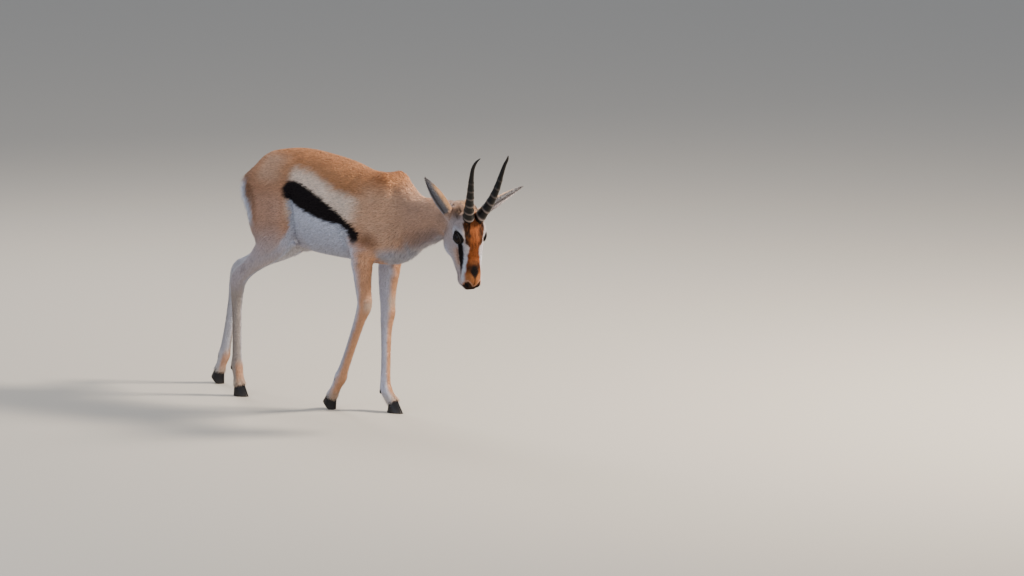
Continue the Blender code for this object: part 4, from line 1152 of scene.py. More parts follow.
def ear_paint(co, way, colour):
    """Colours of the ears, and which points are on them."""
    on_ear = np.zeros(len(co))
    small = rumple(co, 0.006, 2.0)
    for side, sign in SIDES:
        root, length, axes = ear_axes(side)
        axes = np.array(axes)
        local = (co - np.array(root)) @ axes.T
        far = local[:, 0] / length
        wide = np.interp(far, [row[0] for row in EAR_SHAPE], [row[1] for row in EAR_SHAPE])
        here = (far > 0.16) & (far < 1.05)
        here &= np.hypot(local[:, 1], local[:, 2]) < wide * 1.7 + 0.002
        here &= in_head(co)[:, 1] * sign > 0.026
        facing = (way[:, None, :] @ axes.T[None])[:, 0]
        sunk = local[:, 2] + wide * EAR_SINK * EAR_FLATNESS
        outward = (facing[:, 1] * local[:, 1] + facing[:, 2] * sunk) > 0
        upper = axes[1][2] * local[:, 1]
        tan = step(upper, -0.0010, 0.0045) * fall(far, 0.66, 0.90)
        shade = mix(EAR_GREY, EAR_TAN, tan * 0.9)
        across = local[:, 1] / np.maximum(wide, 1e-4) * np.sign(axes[1][2])
        shade = mix(shade, EAR_INSIDE, bell(across, -0.70, 0.13) * 0.75)
        shade = mix(shade, EAR_INSIDE, step(far, 0.84, 0.95) * 0.5)
        rim = step(np.abs(across), 0.86, 0.97)
        shade = mix(shade, FACE_PALE, rim * 0.75)
        inside = mix(EAR_INSIDE, FACE_PALE, step(rim + 0.25 * small, 0.5, 0.9) * 0.8)
        shade = np.where(outward[:, None], shade, inside)
        shade = shade * (1 + 0.07 * small)[:, None]
        colour = np.where(here[:, None], shade, colour)
        on_ear = np.where(here, 1.0 + (~outward), on_ear)
    return colour, on_ear


# The lie of the coat, its length and how thick it grows

def coat_growth(co, way, on_head, on_ear, on_tail):
    """For each point: the way that the hair lies, its length, width, number and how it rises."""
    x, y, z = co.T
    side = np.abs(y)
    along, left, front = in_head(co).T
    ones = np.ones(len(co))

    lie = np.stack([-ones, 0 * x, -0.32 * ones], axis=1)
    leg = fall(z, 0.345, 0.430)
    lie = mix(lie, np.array([-0.10, 0.0, -1.0]), leg)
    thigh = step(-x, 0.10, 0.20) * fall(z, 0.46, 0.56)
    lie = mix(lie, np.array([-0.35, 0.0, -1.0]), 0.7 * thigh)
    breast = step(x, 0.22, 0.30) * fall(z, 0.44, 0.50)
    lie = mix(lie, np.array([-0.45, 0.0, -1.0]), 0.8 * breast)
    rump = step(-x, 0.20, 0.24) * step(z, 0.38, 0.42)
    lie = mix(lie, np.array([-0.15, 0.0, -1.0]), rump)
    lie[:, 1] += 0.25 * np.sign(y) * rump * step(side, 0.010, 0.030)

    face = np.stack([-ones, 0.20 * np.sign(left), -0.25 * ones], axis=1)
    cheek = step(-front, -0.01, 0.03)
    face = mix(face, np.array([-0.55, 0.0, -1.0]), cheek)
    lie = mix(lie, face @ np.array(head_matrix().to_3x3()).T, on_head)
    for name, sign in SIDES:
        root, _, axes = ear_axes(name)
        axes = np.array(axes)
        here = (on_ear > 0) & (left * sign > 0)
        edge = np.sign((co[here] - np.array(root)) @ axes[1])[:, None]
        lie[here] = axes[0] + 0.25 * axes[1] * edge

    lie += 0.06 * np.stack([rumple(co, 0.05, s) for s in (11.0, 12.0, 13.0)], axis=1)
    lie -= way * np.sum(lie * way, axis=1)[:, None]
    lie /= np.maximum(np.linalg.norm(lie, axis=1), 1e-6)[:, None]

    long = HAIR_LENGTH["trunk"] + 0 * x
    long += 0.0030 * step(-way[:, 2], 0.3, 0.8) * (z > 0.35)
    long += 0.0065 * breast
    flare = rump * step(-way[:, 0], 0.15, 0.40) * step(z, 0.42, 0.45) * fall(z, 0.55, 0.58)
    long += 0.0080 * flare
    low_leg = fall(z, 0.290, 0.390)
    long = blend(long, HAIR_LENGTH["legs"], low_leg)
    short = HAIR_LENGTH["face"] - 0.0026 * step(along, 0.090, 0.180)
    short += 0.0035 * fall(along, 0.02, 0.06)
    short += 0.0030 * step(-front, 0.02, 0.05)
    long += 0.0034 * fall(z, 0.036, 0.058)
    long = blend(long, short, on_head)
    long = np.where(on_ear > 0, HAIR_LENGTH["ears"], long)

    wide = HAIR_WIDTH["trunk"] - LEG_FINER * low_leg
    wide = blend(wide, HAIR_WIDTH["head"], on_head)
    wide = np.where(on_ear > 0, HAIR_WIDTH["ears"], wide)
    thick = HAIR_NUMBER["trunk"] + LEG_MORE * low_leg
    thick = blend(thick, HAIR_NUMBER["head"], on_head)
    thick = np.where(on_ear > 0, HAIR_NUMBER["ears"], thick)
    for _, sign in SIDES:
        seen = in_eye(co, sign)
        ring = in_opening(seen)
        bare = (seen[:, 2] > -0.006) & (np.linalg.norm(seen, axis=1) < EYE_RADIUS + 0.006)
        thick = np.where(bare & (ring < 1.14), 0.0, thick)
        long = np.where(bare & (ring < 1.8), np.minimum(long, HAIR_LENGTH["lids"]), long)
    halved = np.stack([along, np.abs(left), front], axis=1)
    hole = oval(halved, NOSTRIL[0], (0.0090, 0.0054, 0.0056))
    thick = np.where(hole < 1.0, 0.0, thick)

    lie[on_tail] = np.array((-0.05, 0.05, -1.0))
    long = np.where(on_tail, HAIR_LENGTH["tail"] + 0.006 * step(0.50 - z, 0.0, 0.08), long)
    wide = np.where(on_tail, HAIR_WIDTH["tail"], wide)
    thick = np.where(on_tail, HAIR_NUMBER["tail"], thick)
    rise = 1.0 + 2.2 * flare + 0.8 * breast * step(x, 0.24, 0.30) + 1.3 * fall(z, 0.034, 0.052)
    return lie, long, wide, thick, rise


# The tufts, and how they grow over the skin

def tuft_blade():
    """A flat tapered tuft one long and one wide, bent towards the skin: 10 triangles."""
    rows = ((0.0, 0.50, 0.00, 0.30), (0.50, 0.40, 0.30, 0.24))
    verts = []
    for far, half, lift, high in rows:
        verts += [(far, -half, lift), (far, half, lift), (far, 0.0, lift + high)]
    verts.append((1.0, 0.0, 0.10))
    faces = [(0, 1, 2), (0, 3, 4, 1), (1, 4, 5, 2), (2, 5, 3, 0), (3, 6, 4), (4, 6, 5), (5, 6, 3)]
    return add_object("tuft_blade", verts, faces)


def tuft_hair():
    """A straight tapered tuft one long and one wide: 4 triangles."""
    verts = [(0, -0.5, 0), (0, 0.5, 0), (0, 0, 0.34), (1, 0, 0.10)]
    return add_object("tuft_hair", verts, [(0, 1, 2), (0, 3, 1), (1, 3, 2), (2, 3, 0)])


def tuft_lock():
    """A long lock one long and one wide, bent and tapered: 22 triangles."""
    verts = []
    rows = ((0.0, 0.34, 0.0), (0.25, 0.50, 0.55), (0.55, 0.42, 0.75), (0.82, 0.24, 0.45))
    for far, half, lift in rows:
        verts += [(far, -half, lift), (far, half, lift), (far, 0.0, lift + 0.30)]
    verts.append((1.0, 0.0, -0.1))
    faces = [(0, 1, 2)]
    for k in range(3):
        a = 3 * k
        faces += [(a, a + 3, a + 4, a + 1), (a + 1, a + 4, a + 5, a + 2), (a + 2, a + 5, a + 3, a)]
    faces += [(9, 12, 10), (10, 12, 11), (11, 12, 9)]
    return add_object("tuft_lock", verts, faces)


def enabled(sockets, name):
    """The socket of this name that is in use."""
    return next(s for s in sockets if s.enabled and s.name == name)


def named(tree, kind, name):
    """A node that reads a named attribute, and its output."""
    node = tree.nodes.new("GeometryNodeInputNamedAttribute")
    node.data_type = kind
    node.inputs["Name"].default_value = name
    return enabled(node.outputs, "Attribute")


def spread(tree, low, high, seed):
    """A node that gives each tuft a number between low and high, and its output."""
    node = tree.nodes.new("FunctionNodeRandomValue")
    node.data_type = "FLOAT"
    for name, value in (("Min", low), ("Max", high), ("Seed", seed)):
        enabled(node.inputs, name).default_value = value
    return enabled(node.outputs, "Value")


def product(tree, first, second):
    """A node that multiplies two values, and its output."""
    node = tree.nodes.new("ShaderNodeMath")
    node.operation = "MULTIPLY"
    tree.links.new(first, node.inputs[0])
    tree.links.new(second, node.inputs[1])
    return node.outputs[0]


def stored(tree, kind, domain, name, mesh, value):
    """A node that keeps a value on a mesh or on points by name, and its output."""
    node = tree.nodes.new("GeometryNodeStoreNamedAttribute")
    node.data_type = kind
    node.domain = domain
    node.inputs["Name"].default_value = name
    tree.links.new(mesh, node.inputs["Geometry"])
    tree.links.new(value, enabled(node.inputs, "Value"))
    return node.outputs["Geometry"]


def coat_tree():
    """Tufts on a skin, which follow its values lie, long, wide, thick and rise in one zone. Each
    has a small patch of its own at its root's place on the skin's unwrap."""
    tree = bpy.data.node_groups.new("coat", "GeometryNodeTree")
    sockets = (("Skin", "Geometry"), ("Tuft", "Object"), ("Density", "Float"), ("Lean", "Float"),
               ("Zone", "Int"), ("Seed", "Int"), ("Material", "Material"))
    for name, kind in sockets:
        tree.interface.new_socket(name, in_out="INPUT", socket_type="NodeSocket" + kind)
    tree.interface.new_socket("Coat", in_out="OUTPUT", socket_type="NodeSocketGeometry")
    nodes, links = tree.nodes, tree.links
    start, end = nodes.new("NodeGroupInput"), nodes.new("NodeGroupOutput")

    scatter = nodes.new("GeometryNodeDistributePointsOnFaces")
    links.new(start.outputs["Skin"], scatter.inputs["Mesh"])
    same = nodes.new("FunctionNodeCompare")
    same.data_type = "INT"
    same.operation = "EQUAL"
    ends = [s for s in same.inputs if s.enabled]
    links.new(named(tree, "INT", "zone"), ends[0])
    links.new(start.outputs["Zone"], ends[1])
    links.new(same.outputs[0], scatter.inputs["Selection"])
    amount = product(tree, named(tree, "FLOAT", "thick"), start.outputs["Density"])
    links.new(amount, enabled(scatter.inputs, "Density"))
    links.new(start.outputs["Seed"], scatter.inputs["Seed"])

    stand = nodes.new("FunctionNodeAlignRotationToVector")
    stand.axis = "Z"
    links.new(scatter.outputs["Normal"], stand.inputs["Vector"])
    swing = nodes.new("FunctionNodeAlignRotationToVector")
    swing.axis = "X"
    swing.pivot_axis = "Z"
    links.new(stand.outputs[0], swing.inputs["Rotation"])
    links.new(named(tree, "FLOAT_VECTOR", "lie"), swing.inputs["Vector"])
    turn = nodes.new("ShaderNodeCombineXYZ")
    links.new(spread(tree, -0.35, 0.35, 1), turn.inputs[0])
    lean = product(tree, start.outputs["Lean"], spread(tree, -1.5, -0.5, 2))
    lean = product(tree, lean, named(tree, "FLOAT", "rise"))
    links.new(lean, turn.inputs[1])
    links.new(spread(tree, -0.15, 0.15, 3), turn.inputs[2])
    tilt = nodes.new("FunctionNodeRotateRotation")
    tilt.rotation_space = "LOCAL"
    links.new(swing.outputs[0], tilt.inputs[0])
    links.new(turn.outputs[0], tilt.inputs[1])

    size = nodes.new("ShaderNodeCombineXYZ")
    length = product(tree, named(tree, "FLOAT", "long"), spread(tree, 0.70, 1.25, 4))
    width = product(tree, named(tree, "FLOAT", "wide"), spread(tree, 0.75, 1.25, 5))
    links.new(length, size.inputs[0])
    links.new(width, size.inputs[1])
    links.new(width, size.inputs[2])

    tint = spread(tree, 0.0, 1.0, 6)
    roots = stored(tree, "FLOAT", "POINT", "tint", scatter.outputs["Points"], tint)
    tuft = nodes.new("GeometryNodeObjectInfo")
    links.new(start.outputs["Tuft"], tuft.inputs["Object"])
    place = nodes.new("GeometryNodeInstanceOnPoints")
    links.new(roots, place.inputs["Points"])
    links.new(tuft.outputs["Geometry"], place.inputs["Instance"])
    links.new(tilt.outputs[0], place.inputs["Rotation"])
    links.new(size.outputs[0], place.inputs["Scale"])
    real = nodes.new("GeometryNodeRealizeInstances")
    links.new(place.outputs["Instances"], real.inputs["Geometry"])

    patch = nodes.new("ShaderNodeVectorMath")
    patch.operation = "MULTIPLY_ADD"
    links.new(named(tree, "FLOAT_VECTOR", "own"), patch.inputs[0])
    patch.inputs[1].default_value = (TUFT_PATCH, TUFT_PATCH, 0.0)
    links.new(named(tree, "FLOAT_VECTOR", "OFBake"), patch.inputs[2])
    flat = stored(tree, "FLOAT2", "CORNER", "OFBake", real.outputs["Geometry"], patch.outputs[0])
    dress = nodes.new("GeometryNodeSetMaterial")
    links.new(flat, dress.inputs["Geometry"])
    links.new(start.outputs["Material"], dress.inputs["Material"])
    links.new(dress.outputs["Geometry"], end.inputs["Coat"])
    return tree


def grow(name, skin, tree, zone, tuft, density, lean, seed, material):
    """A piece of the coat, as a plain mesh."""
    obj = new_object(name, skin.data)
    nodes = obj.modifiers.new("coat", "NODES")
    nodes.node_group = tree
    values = {"Tuft": tuft, "Density": density, "Lean": lean, "Zone": zone, "Seed": seed,
              "Material": material}
    for item in tree.interface.items_tree:
        if item.in_out == "INPUT" and item.name in values:
            nodes[item.identifier] = values[item.name]
    graph = bpy.context.evaluated_depsgraph_get()
    mesh = bpy.data.meshes.new_from_object(obj.evaluated_get(graph))
    obj.modifiers.clear()
    obj.data = mesh
    for spare in (*GROWTH, "zone", "sharp_face"):
        found = mesh.attributes.get(spare)
        if found is not None:
            mesh.attributes.remove(found)
    mesh.shade_smooth()
    return obj


# Materials

def new_material(name):
    """A material, its nodes, its links and its shader."""
    material = bpy.data.materials.new(name)
    material.use_nodes = True
    nodes = material.node_tree.nodes
    return material, nodes, material.node_tree.links, nodes["Principled BSDF"]


def noise_node(nodes, links, scale, detail=3.0, stretch=(1, 1, 1)):
    """Noise on the object's own coordinates, and its output."""
    place = nodes.new("ShaderNodeTexCoord")
    fit = nodes.new("ShaderNodeMapping")
    fit.inputs["Scale"].default_value = stretch
    links.new(place.outputs["Object"], fit.inputs["Vector"])
    made = nodes.new("ShaderNodeTexNoise")
    made.inputs["Scale"].default_value = scale
    made.inputs["Detail"].default_value = detail
    links.new(fit.outputs[0], made.inputs["Vector"])
    return made.outputs[0]


def ranged(nodes, links, value, low, high, end=1.0):
    """A value from 0 to end spread between two others, and its output."""
    node = nodes.new("ShaderNodeMapRange")
    node.inputs["From Max"].default_value = end
    node.inputs["To Min"].default_value = low
    node.inputs["To Max"].default_value = high
    links.new(value, node.inputs["Value"])
    return node.outputs[0]


def between(nodes, links, share, first, second):
    """A colour between two others, and its output."""
    node = nodes.new("ShaderNodeMixRGB")
    links.new(share, node.inputs["Fac"])
    node.inputs["Color1"].default_value = (*first, 1)
    node.inputs["Color2"].default_value = (*second, 1)
    return node.outputs[0]


def shaded(nodes, links, colour, value):
    """A colour made darker or lighter by a value, and its output."""
    node = nodes.new("ShaderNodeVectorMath")
    node.operation = "SCALE"
    links.new(colour, node.inputs[0])
    links.new(value, node.inputs["Scale"])
    return node.outputs[0]


def bump(nodes, links, height, strength, distance, shader):
    """Fine relief on a shader."""
    node = nodes.new("ShaderNodeBump")
    node.inputs["Strength"].default_value = strength
    node.inputs["Distance"].default_value = distance
    links.new(height, node.inputs["Height"])
    links.new(node.outputs[0], shader.inputs["Normal"])


def attribute(nodes, name, output="Color"):
    """A value that the mesh carries, as an output."""
    node = nodes.new("ShaderNodeAttribute")
    node.attribute_name = name
    return node.outputs[output]


def skin_material():
    """The short coat as it lies on the skin: its markings with a fine streaky bump."""
    material, nodes, links, shader = new_material("short_coat")
    streaks = noise_node(nodes, links, 420, 4.0, (0.35, 1.0, 1.0))
    tone = ranged(nodes, links, streaks, 0.72, 1.16)
    links.new(shaded(nodes, links, attribute(nodes, "coat"), tone), shader.inputs["Base Color"])
    shader.inputs["Roughness"].default_value = 0.85
    shader.inputs["Specular IOR Level"].default_value = 0.12
    bump(nodes, links, streaks, 0.5, 0.0006, shader)
    return material


def fur_material():
    """Tufts of hair: the markings, a little darker at the root, each tuft its own tone."""
    material, nodes, links, shader = new_material("fur")
    tone = ranged(nodes, links, attribute(nodes, "tint", "Fac"), 0.76, 1.24)
    split = nodes.new("ShaderNodeSeparateXYZ")
    links.new(attribute(nodes, "own", "Vector"), split.inputs[0])
    root = ranged(nodes, links, split.outputs[0], 0.80, 1.12)
    tone = product(material.node_tree, tone, root)
    links.new(shaded(nodes, links, attribute(nodes, "coat"), tone), shader.inputs["Base Color"])
    shader.inputs["Roughness"].default_value = 0.70
    shader.inputs["Specular IOR Level"].default_value = 0.12
    return material


def horn_material():
    """Horn: black, with paler ridges that carry a painted highlight on their crests, and fine
    lengthwise fibres.
    """
    material, nodes, links, shader = new_material("ringed_horn")
    fibres = noise_node(nodes, links, 900, 4.0, (1.0, 1.0, 0.12))
    # The rings' crests get a painted highlight over the black.
    wear_and_highlight = between(nodes, links, attribute(nodes, "wear_and_highlight", "Fac"), HORN_BLACK, HORN_CREST_HIGHLIGHT)
    tone = ranged(nodes, links, fibres, 0.65, 1.25)
    links.new(shaded(nodes, links, wear_and_highlight, tone), shader.inputs["Base Color"])
    shader.inputs["Roughness"].default_value = 0.42
    shader.inputs["Specular IOR Level"].default_value = 0.22
    bump(nodes, links, fibres, 0.35, 0.0003, shader)
    return material


def hoof_material():
    """Hoof horn: black-brown with fine rings, dusty and worn near the floor."""
    material, nodes, links, shader = new_material("hoof_horn")
    wear = noise_node(nodes, links, 160, 5.0, (1.0, 1.0, 2.5))
    place = nodes.new("ShaderNodeTexCoord")
    split = nodes.new("ShaderNodeSeparateXYZ")
    links.new(place.outputs["Object"], split.inputs[0])
    low = ranged(nodes, links, split.outputs[2], 0.75, 0.10, 0.014)
    wear_and_highlight = between(nodes, links, product(material.node_tree, low, wear), HOOF_BLACK, HOOF_WORN)
    links.new(wear_and_highlight, shader.inputs["Base Color"])
    shader.inputs["Roughness"].default_value = 0.45
    shader.inputs["Specular IOR Level"].default_value = 0.25
    rings = noise_node(nodes, links, 300, 3.0, (0.25, 0.25, 3.0))
    bump(nodes, links, rings, 0.4, 0.0004, shader)
    return material


def eye_material():
    """A dark brown eye with a long pupil, under a clear wet coat."""
    material, nodes, links, shader = new_material("wet_eye")
    fibres = noise_node(nodes, links, 700, 3.0)
    iris = between(nodes, links, attribute(nodes, "iris", "Fac"), PUPIL, IRIS)
    tone = ranged(nodes, links, fibres, 0.6, 1.5)
    links.new(shaded(nodes, links, iris, tone), shader.inputs["Base Color"])
    shader.inputs["Roughness"].default_value = 0.10
    shader.inputs["IOR"].default_value = 1.14
    shader.inputs["Coat Weight"].default_value = 0.06
    shader.inputs["Coat Roughness"].default_value = 0.02
    return material


def lid_material():
    """The bare black rims of the lids."""
    material, nodes, links, shader = new_material("lid_rim")
    grain = noise_node(nodes, links, 1200, 2.0)
    shader.inputs["Base Color"].default_value = (*LID_BLACK, 1)
    links.new(ranged(nodes, links, grain, 0.25, 0.5), shader.inputs["Roughness"])
    bump(nodes, links, grain, 0.3, 0.0002, shader)
    return material


# Pieces beside the skin

def horn_piece(side, sign):
    """A ringed horn, with lengthwise grooves between the rings and a smooth tip."""
    rows = smooth_rows(HORN, 12)
    place = head_matrix()
    centres = np.array([place @ Vector((row[0], -sign * row[1], row[2])) for row in rows])
    lengths = np.concatenate([[0], np.cumsum(np.linalg.norm(np.diff(centres, axis=0), axis=1))])
    total = lengths[-1]
    rings = np.linspace(total * RING_SPAN[0], total * RING_SPAN[1], HORN_RINGS)
    heights = RING_HEIGHT * (1 - 0.5 * np.arange(HORN_RINGS) / (HORN_RINGS - 1))
    sections, wear_and_highlight = [], []
    for d in np.linspace(0, total, HORN_ROWS):
        centre = [np.interp(d, lengths, centres[:, k]) for k in range(3)]
        radius = np.interp(d, lengths, rows[:, 3])
        sections.append((*centre, radius, radius, radius * HORN_FLATNESS))

    def relief(far, angle):
        """How much larger the horn's radius is for its rings and grooves."""
        d = far * total
        radius = np.interp(d, lengths, rows[:, 3])
        tilt = 0.0022 * math.sin(angle)
        lift = 0.0
        for ring, height in zip(rings, heights):
            off = d + tilt - ring
            reach = RING_REACH[0] if off < 0 else RING_REACH[1]
            lift += height * (0.75 + 0.25 * math.sin(angle)) * math.exp(-((off / reach) ** 2))
        groove = 0.00022 * math.sin(angle * 17 + 2 * math.sin(d * 90)) * fall(far, 0.55, 0.75)
        # Each point's share of the painted highlight, most on the rings' crests.
        wear_and_highlight.append(min(lift / RING_HEIGHT, 1.0) ** 3)
        return 1 + (lift + groove) / max(radius, 0.001)

    front = place.to_3x3() @ Vector((0, 0, 1))
    obj = add_object("horn_shape_" + side, *tube(sections, front, HORN_SIDES, 1, None, relief))
    write_values(obj.data, "wear_and_highlight", "FLOAT", wear_and_highlight)
    return obj


# A claw's sole on its outer side and back along its inner side: how far from the heel, and out.
CLAW = (
    (0.00, 0.0035), (0.02, 0.0090), (0.14, 0.0132), (0.38, 0.0148), (0.62, 0.0138),
    (0.82, 0.0100), (0.95, 0.0055), (1.00, 0.0026),
    (0.96, 0.0010), (0.70, 0.0012), (0.40, 0.0012), (0.12, 0.0014),
)


CLAW_WIDTH = 0.0148
CLAW_LEVELS = (0.0, 0.1, 0.2, 0.32, 0.45, 0.58, 0.70, 0.82, 0.91, 0.97, 1.0)
THINNEST = 0.0010


def claw_pieces(name):
    """The two claws of a foot, from the coronet to the floor."""
    before, end = np.array(LEGS[name])[-2:]
    down = Vector(end[:3] - before[:3]).normalized()
    tip, heel = Vector(HOOVES[name][0]), Vector(HOOVES[name][1])
    level_tip, level_heel = Vector((tip.x, tip.y, 0)), Vector((heel.x, heel.y, 0))
    ahead = (level_tip - level_heel).normalized()
    length = (level_tip - level_heel).length
    left = Vector((0, 0, 1)).cross(ahead)
    top_centre = Vector(end[:3]) - down * 0.0015
    top_front = (ahead - down * ahead.dot(down)).normalized()
    top_left = down.cross(top_front) * -1
    if top_left.dot(left) < 0:
        top_left = -top_left
    outline = smooth_rows(CLAW + CLAW[:1], 3)[:-1]
    claws = []
    for side, sign in SIDES:
        rings = []
        for level in CLAW_LEVELS:
            ring = []
            for far, out in outline:
                far, out = min(max(far, 0.0), 1.0), max(out, THINNEST)
                bulge = 1.0 + 0.05 * math.sin(level * math.pi) + 0.008 * math.sin(level * 26)
                if level > 0.95:
                    bulge -= (level - 0.95) * 0.8
                high = far * 2 - 1
                reach = end[3] if high > 0 else end[4]
                room = math.sqrt(max(1 - min(abs(high), 0.97) ** 2, 0.0))
                side_out = out
                if out > 0.003:
                    side_out = end[5] * room * min(out / CLAW_WIDTH * 1.05, 1.0)
                top = top_centre + top_front * (high * reach * 0.96)
                top += top_left * (sign * max(side_out, THINNEST))
                rise = heel.z * (1 - far / 0.70) if heel.z > 0 and far < 0.70 else 0.0
                foot = level_heel + ahead * (length * far) + left * (sign * out * bulge)
                foot.z = rise
                ring.append(top.lerp(foot, level))
            rings.append(ring)
        verts = [v for ring in rings for v in ring]
        n = len(outline)
        faces = [tuple(range(n)), tuple((len(rings) - 1) * n + k for k in range(n))]
        for r in range(len(rings) - 1):
            for k in range(n):
                a, b = r * n + k, r * n + (k + 1) % n
                faces.append((a, b, b + n, a + n))
        claws.append(add_object(name.replace("leg", "hoof") + "_" + side + "_shape", verts, faces))
    return claws


def dewclaws():
    """Two small claws behind each fetlock."""
    made = []
    for sections in LEGS.values():
        row = sections[FETLOCK]
        for _, sign in SIDES:
            spot = (row[0] - row[4] * 0.62, row[1] + sign * DEWCLAW_OUT, row[2] - 0.006)
            made.append(ball("dewclaw", spot, DEWCLAW, (0, 14, 0), None, 3))
    return join(made, "dewclaws")


def eye_piece(side, sign):
    """An eyeball with its iris and a bulging clear front."""
    axes = eye_frame(sign)
    obj = ball("eyeball_" + side, (0, 0, 0), (1, 1, 1), (0, 0, 0), None, 5)
    co = points_of(obj)
    spread_out = np.hypot(co[:, 0], co[:, 1])
    bulge = np.where(co[:, 2] > 0, 0.035 * np.clip(1 - (spread_out / 0.72) ** 2, 0, 1), 0)
    pupil = np.hypot(co[:, 0] / 0.46, co[:, 1] / 0.24)
    iris = step(pupil, 0.9, 1.1) * fall(spread_out, 0.70, 0.80)
    write_values(obj.data, "iris", "FLOAT", iris * (co[:, 2] > 0))
    co = co * (1 + bulge)[:, None] * EYE_RADIUS * 0.998
    matrix = np.array(axes)
    place_points(obj, co @ matrix[:3, :3].T + matrix[:3, 3])
    return obj


def lid_rim(side, sign):
    """The bare rim round an eye's opening."""
    axes = eye_frame(sign)
    count, sides, thick = 72, 10, 0.00085
    reach = EYE_RADIUS + LID * 0.55
    sections = []
    for k in range(count + 1):
        angle = 2 * math.pi * k / count
        a = EYE_OPENING[0] * 0.965 * math.cos(angle)
        b = EYE_OPENING[1] * 0.965 * math.sin(angle)
        sections.append(axes @ Vector((a, b, math.sqrt(reach**2 - a**2 - b**2))))
    verts, faces = [], []
    for k in range(count):
        way = (sections[k + 1] - sections[k - 1 if k else count - 1]).normalized()
        out = (sections[k] - axes.translation).normalized()
        across = way.cross(out).normalized()
        for s in range(sides):
            turn = 2 * math.pi * s / sides
            verts.append(sections[k] + (out * math.cos(turn) + across * math.sin(turn)) * thick)
    for k in range(count):
        for s in range(sides):
            a, b = k * sides + s, k * sides + (s + 1) % sides
            c, d = (a + sides) % (count * sides), (b + sides) % (count * sides)
            faces.append((a, b, d, c))
    return add_object("lid_rim_" + side, verts, faces)


# Putting it together

def finish_piece(obj, material):
    """Moves a piece to the frame and gives it its body and its material."""
    obj.data.transform(Matrix.Translation(SHIFT))
    if material is not None:
        obj.data.materials.clear()
        obj.data.materials.append(material)
    obj.data.shade_smooth()
    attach(obj, "root")
    return obj


place = head_matrix()
low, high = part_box("eye_right")
SHIFT = (low + high) / 2 - place @ Vector((EYE_PLACE[0], -EYE_PLACE[1], EYE_PLACE[2]))
SHIFT.z = 0.0

skin = whole_skin()
co, way = points_of(skin), normals_of(skin)
on_head = step(past_cut(co), -0.012, 0.014)
colour = mix(body_paint(co, way, softened(skin, way, WAY_ROUNDS)), face_paint(co, way), on_head)
colour, on_ear = ear_paint(co, way, colour)
on_tail = near_tail(co, 0.001) & (co[:, 2] < TAIL_BELOW) & (co[:, 0] < TAIL_BEHIND)
growth = coat_growth(co, way, on_head, on_ear, on_tail)
painted = np.column_stack([np.clip(colour, 0, 1), np.ones(len(co))])
write_values(skin.data, "coat", "FLOAT_COLOR", painted)
for name, values in zip(GROWTH, growth):
    write_values(skin.data, name, "FLOAT_VECTOR" if name == "lie" else "FLOAT", values)

# A zone is its piece's place in COAT. The head's coat ends in a ragged edge.
beyond = past_cut(co) + 0.030 * rumple(co, 0.0035, 5.0)
low_leg = co[:, 2] < LEG_TOP
zone = np.select(
    [on_tail, on_ear > 1, on_ear > 0, beyond > 0.012, low_leg & (co[:, 0] < 0), low_leg,
     *(co[:, 0] > end for end in TRUNK_ENDS)],
    [15, 14, 13, 12, 11, 10, 0, 2, 4, 6], 8)
zone = np.where((zone < 10) & (co[:, 1] > 0), zone + 1, zone)
write_values(skin.data, "zone", "INT", zone)

# An unwrap of the skin's own shape.
for obj in bpy.context.view_layer.objects:
    obj.select_set(False)
bpy.context.view_layer.objects.active = skin
skin.select_set(True)
bpy.ops.object.mode_set(mode="EDIT")
bpy.ops.mesh.select_all(action="SELECT")
bpy.ops.uv.smart_project(angle_limit=math.radians(66), island_margin=0.002)
bpy.ops.object.mode_set(mode="OBJECT")
skin.data.uv_layers.active.name = "OFBake"

short_coat, fur = skin_material(), fur_material()
tree = coat_tree()
tufts = {"blade": tuft_blade(), "hair": tuft_hair(), "lock": tuft_lock()}
for tuft in tufts.values():
    write_values(tuft.data, "own", "FLOAT_VECTOR", points_of(tuft))

coats = []
for zone, (name, tuft, density, lean) in enumerate(COAT):
    coats.append(grow(name, skin, tree, zone, tufts[tuft], density, lean, SEED + zone, fur))
for tuft in tufts.values():
    bpy.data.objects.remove(tuft)

for spare in (*GROWTH, "zone"):
    skin.data.attributes.remove(skin.data.attributes[spare])
finish_piece(skin, short_coat)
flesh = [n for n in frame["nodes"] if not n.startswith(("eye", "horn", "forehoof", "hindhoof"))]
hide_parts(*flesh)
for piece in coats:
    finish_piece(piece, None)

horn_look, hoof_look = horn_material(), hoof_material()
eye_look, lid_look = eye_material(), lid_material()
for side, sign in SIDES:
    piece = finish_piece(horn_piece(side, sign), horn_look)
    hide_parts("horn_" + side)
    piece = finish_piece(eye_piece(side, sign), eye_look)
    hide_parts("eye_" + side)
    finish_piece(lid_rim(side, sign), lid_look)
for name in LEGS:
    for side, claw in zip(("right", "left"), claw_pieces(name)):
        finish_piece(claw, hoof_look)
        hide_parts(name.replace("leg", "hoof") + "_" + side + "_claw")
finish_piece(dewclaws(), hoof_look)

# Floor, light and camera

SKY_BLUE = (0.80, 0.88, 1.0)
# Lights: how far right, up and back of the animal, as the camera sees it, then size and power.
LAMPS = (
    ("key", (3.0, 2.6, 0.5), 0.7, 450, (1.0, 0.88, 0.72)),
    ("fill", (-2.2, 1.2, 3.0), 2.0, 50, SKY_BLUE),
    ("rim", (-1.0, 3.0, -2.2), 1.4, 95, (1.0, 0.94, 0.86)),
)
LAMP_AIM = Vector((0, 0, 0.35))
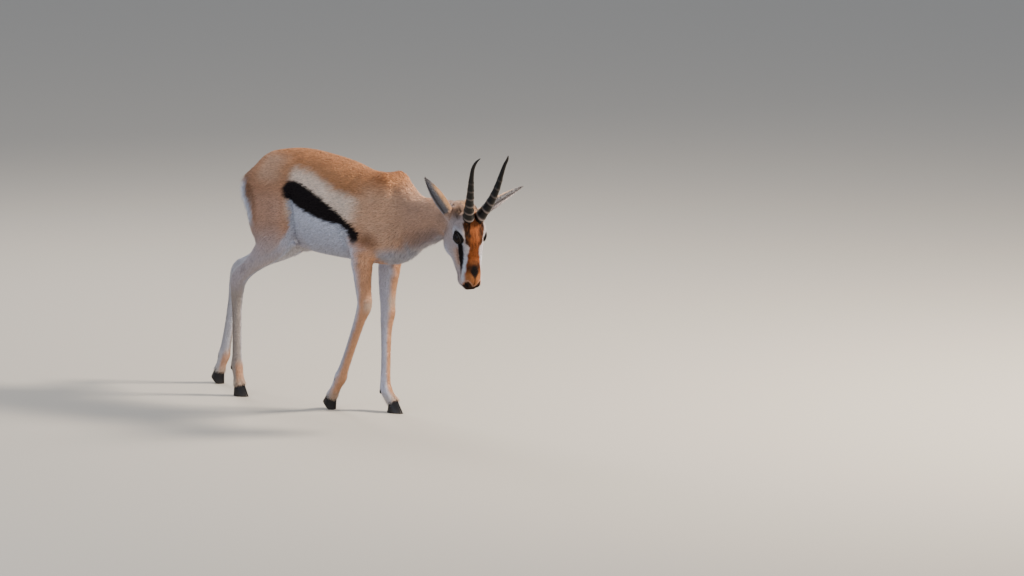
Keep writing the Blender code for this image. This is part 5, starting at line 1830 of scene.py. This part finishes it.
# The camera: its way round and up from the animal's right, its distance, and its focal length in
# pixels. AIM is a point of the drawing, and AIM_PIXEL is where it shows in the picture.
AZIMUTH, ELEVATION = math.radians(44), math.radians(8.5)
DISTANCE, FOCAL = 20.0, 8160.0
PICTURE = (1024, 576)
SENSOR = 36.0
AIM = Vector((0.02, 0.0, 0.4)) + SHIFT
AIM_PIXEL = (335.87, 245.43)

corners = [(-60, -60, 0), (60, -60, 0), (60, 60, 0), (-60, 60, 0)]
ground = add_object("floor", corners, [(0, 1, 2, 3)])
floor_look, _, _, shader = new_material("pale_floor")
shader.inputs["Base Color"].default_value = (*FLOOR, 1)
shader.inputs["Roughness"].default_value = 0.9
ground.data.materials.append(floor_look)

world = bpy.data.worlds.new("studio")
bpy.context.scene.world = world
world.use_nodes = True
sky = world.node_tree.nodes["Background"]
sky.inputs["Color"].default_value = (*SKY_BLUE, 1)
sky.inputs["Strength"].default_value = 0.68

right = Vector((math.cos(AZIMUTH), math.sin(AZIMUTH), 0))
back = Vector((math.sin(AZIMUTH) * math.cos(ELEVATION), -math.cos(AZIMUTH) * math.cos(ELEVATION),
               math.sin(ELEVATION)))
up = back.cross(right)


def lamp(name, spot, size, power, tone):
    """A soft square light that faces the animal."""
    data = bpy.data.lights.new(name, "AREA")
    data.size = size
    data.energy = power
    data.color = tone
    obj = new_object(name, data)
    obj.location = spot
    obj.rotation_euler = (LAMP_AIM - Vector(spot)).to_track_quat("-Z", "Y").to_euler()


for name, (to_right, to_up, to_back), size, power, tone in LAMPS:
    lamp(name, right * to_right + up * to_up + back * to_back, size, power, tone)

camera = new_object("camera", bpy.data.cameras.new("camera"))
camera.data.sensor_width = SENSOR
camera.data.lens = FOCAL / PICTURE[0] * SENSOR
camera.data.clip_end = 200.0
camera.location = AIM + back * DISTANCE
ahead = -back + right * (PICTURE[0] / 2 - AIM_PIXEL[0]) / FOCAL
ahead += up * (AIM_PIXEL[1] - PICTURE[1] / 2) / FOCAL
ahead.normalize()
head_up = (up - ahead * up.dot(ahead)).normalized()
camera.rotation_mode = "QUATERNION"
turned = Matrix((ahead.cross(head_up), head_up, -ahead)).transposed()
camera.rotation_quaternion = turned.to_quaternion()
bpy.context.scene.camera = camera
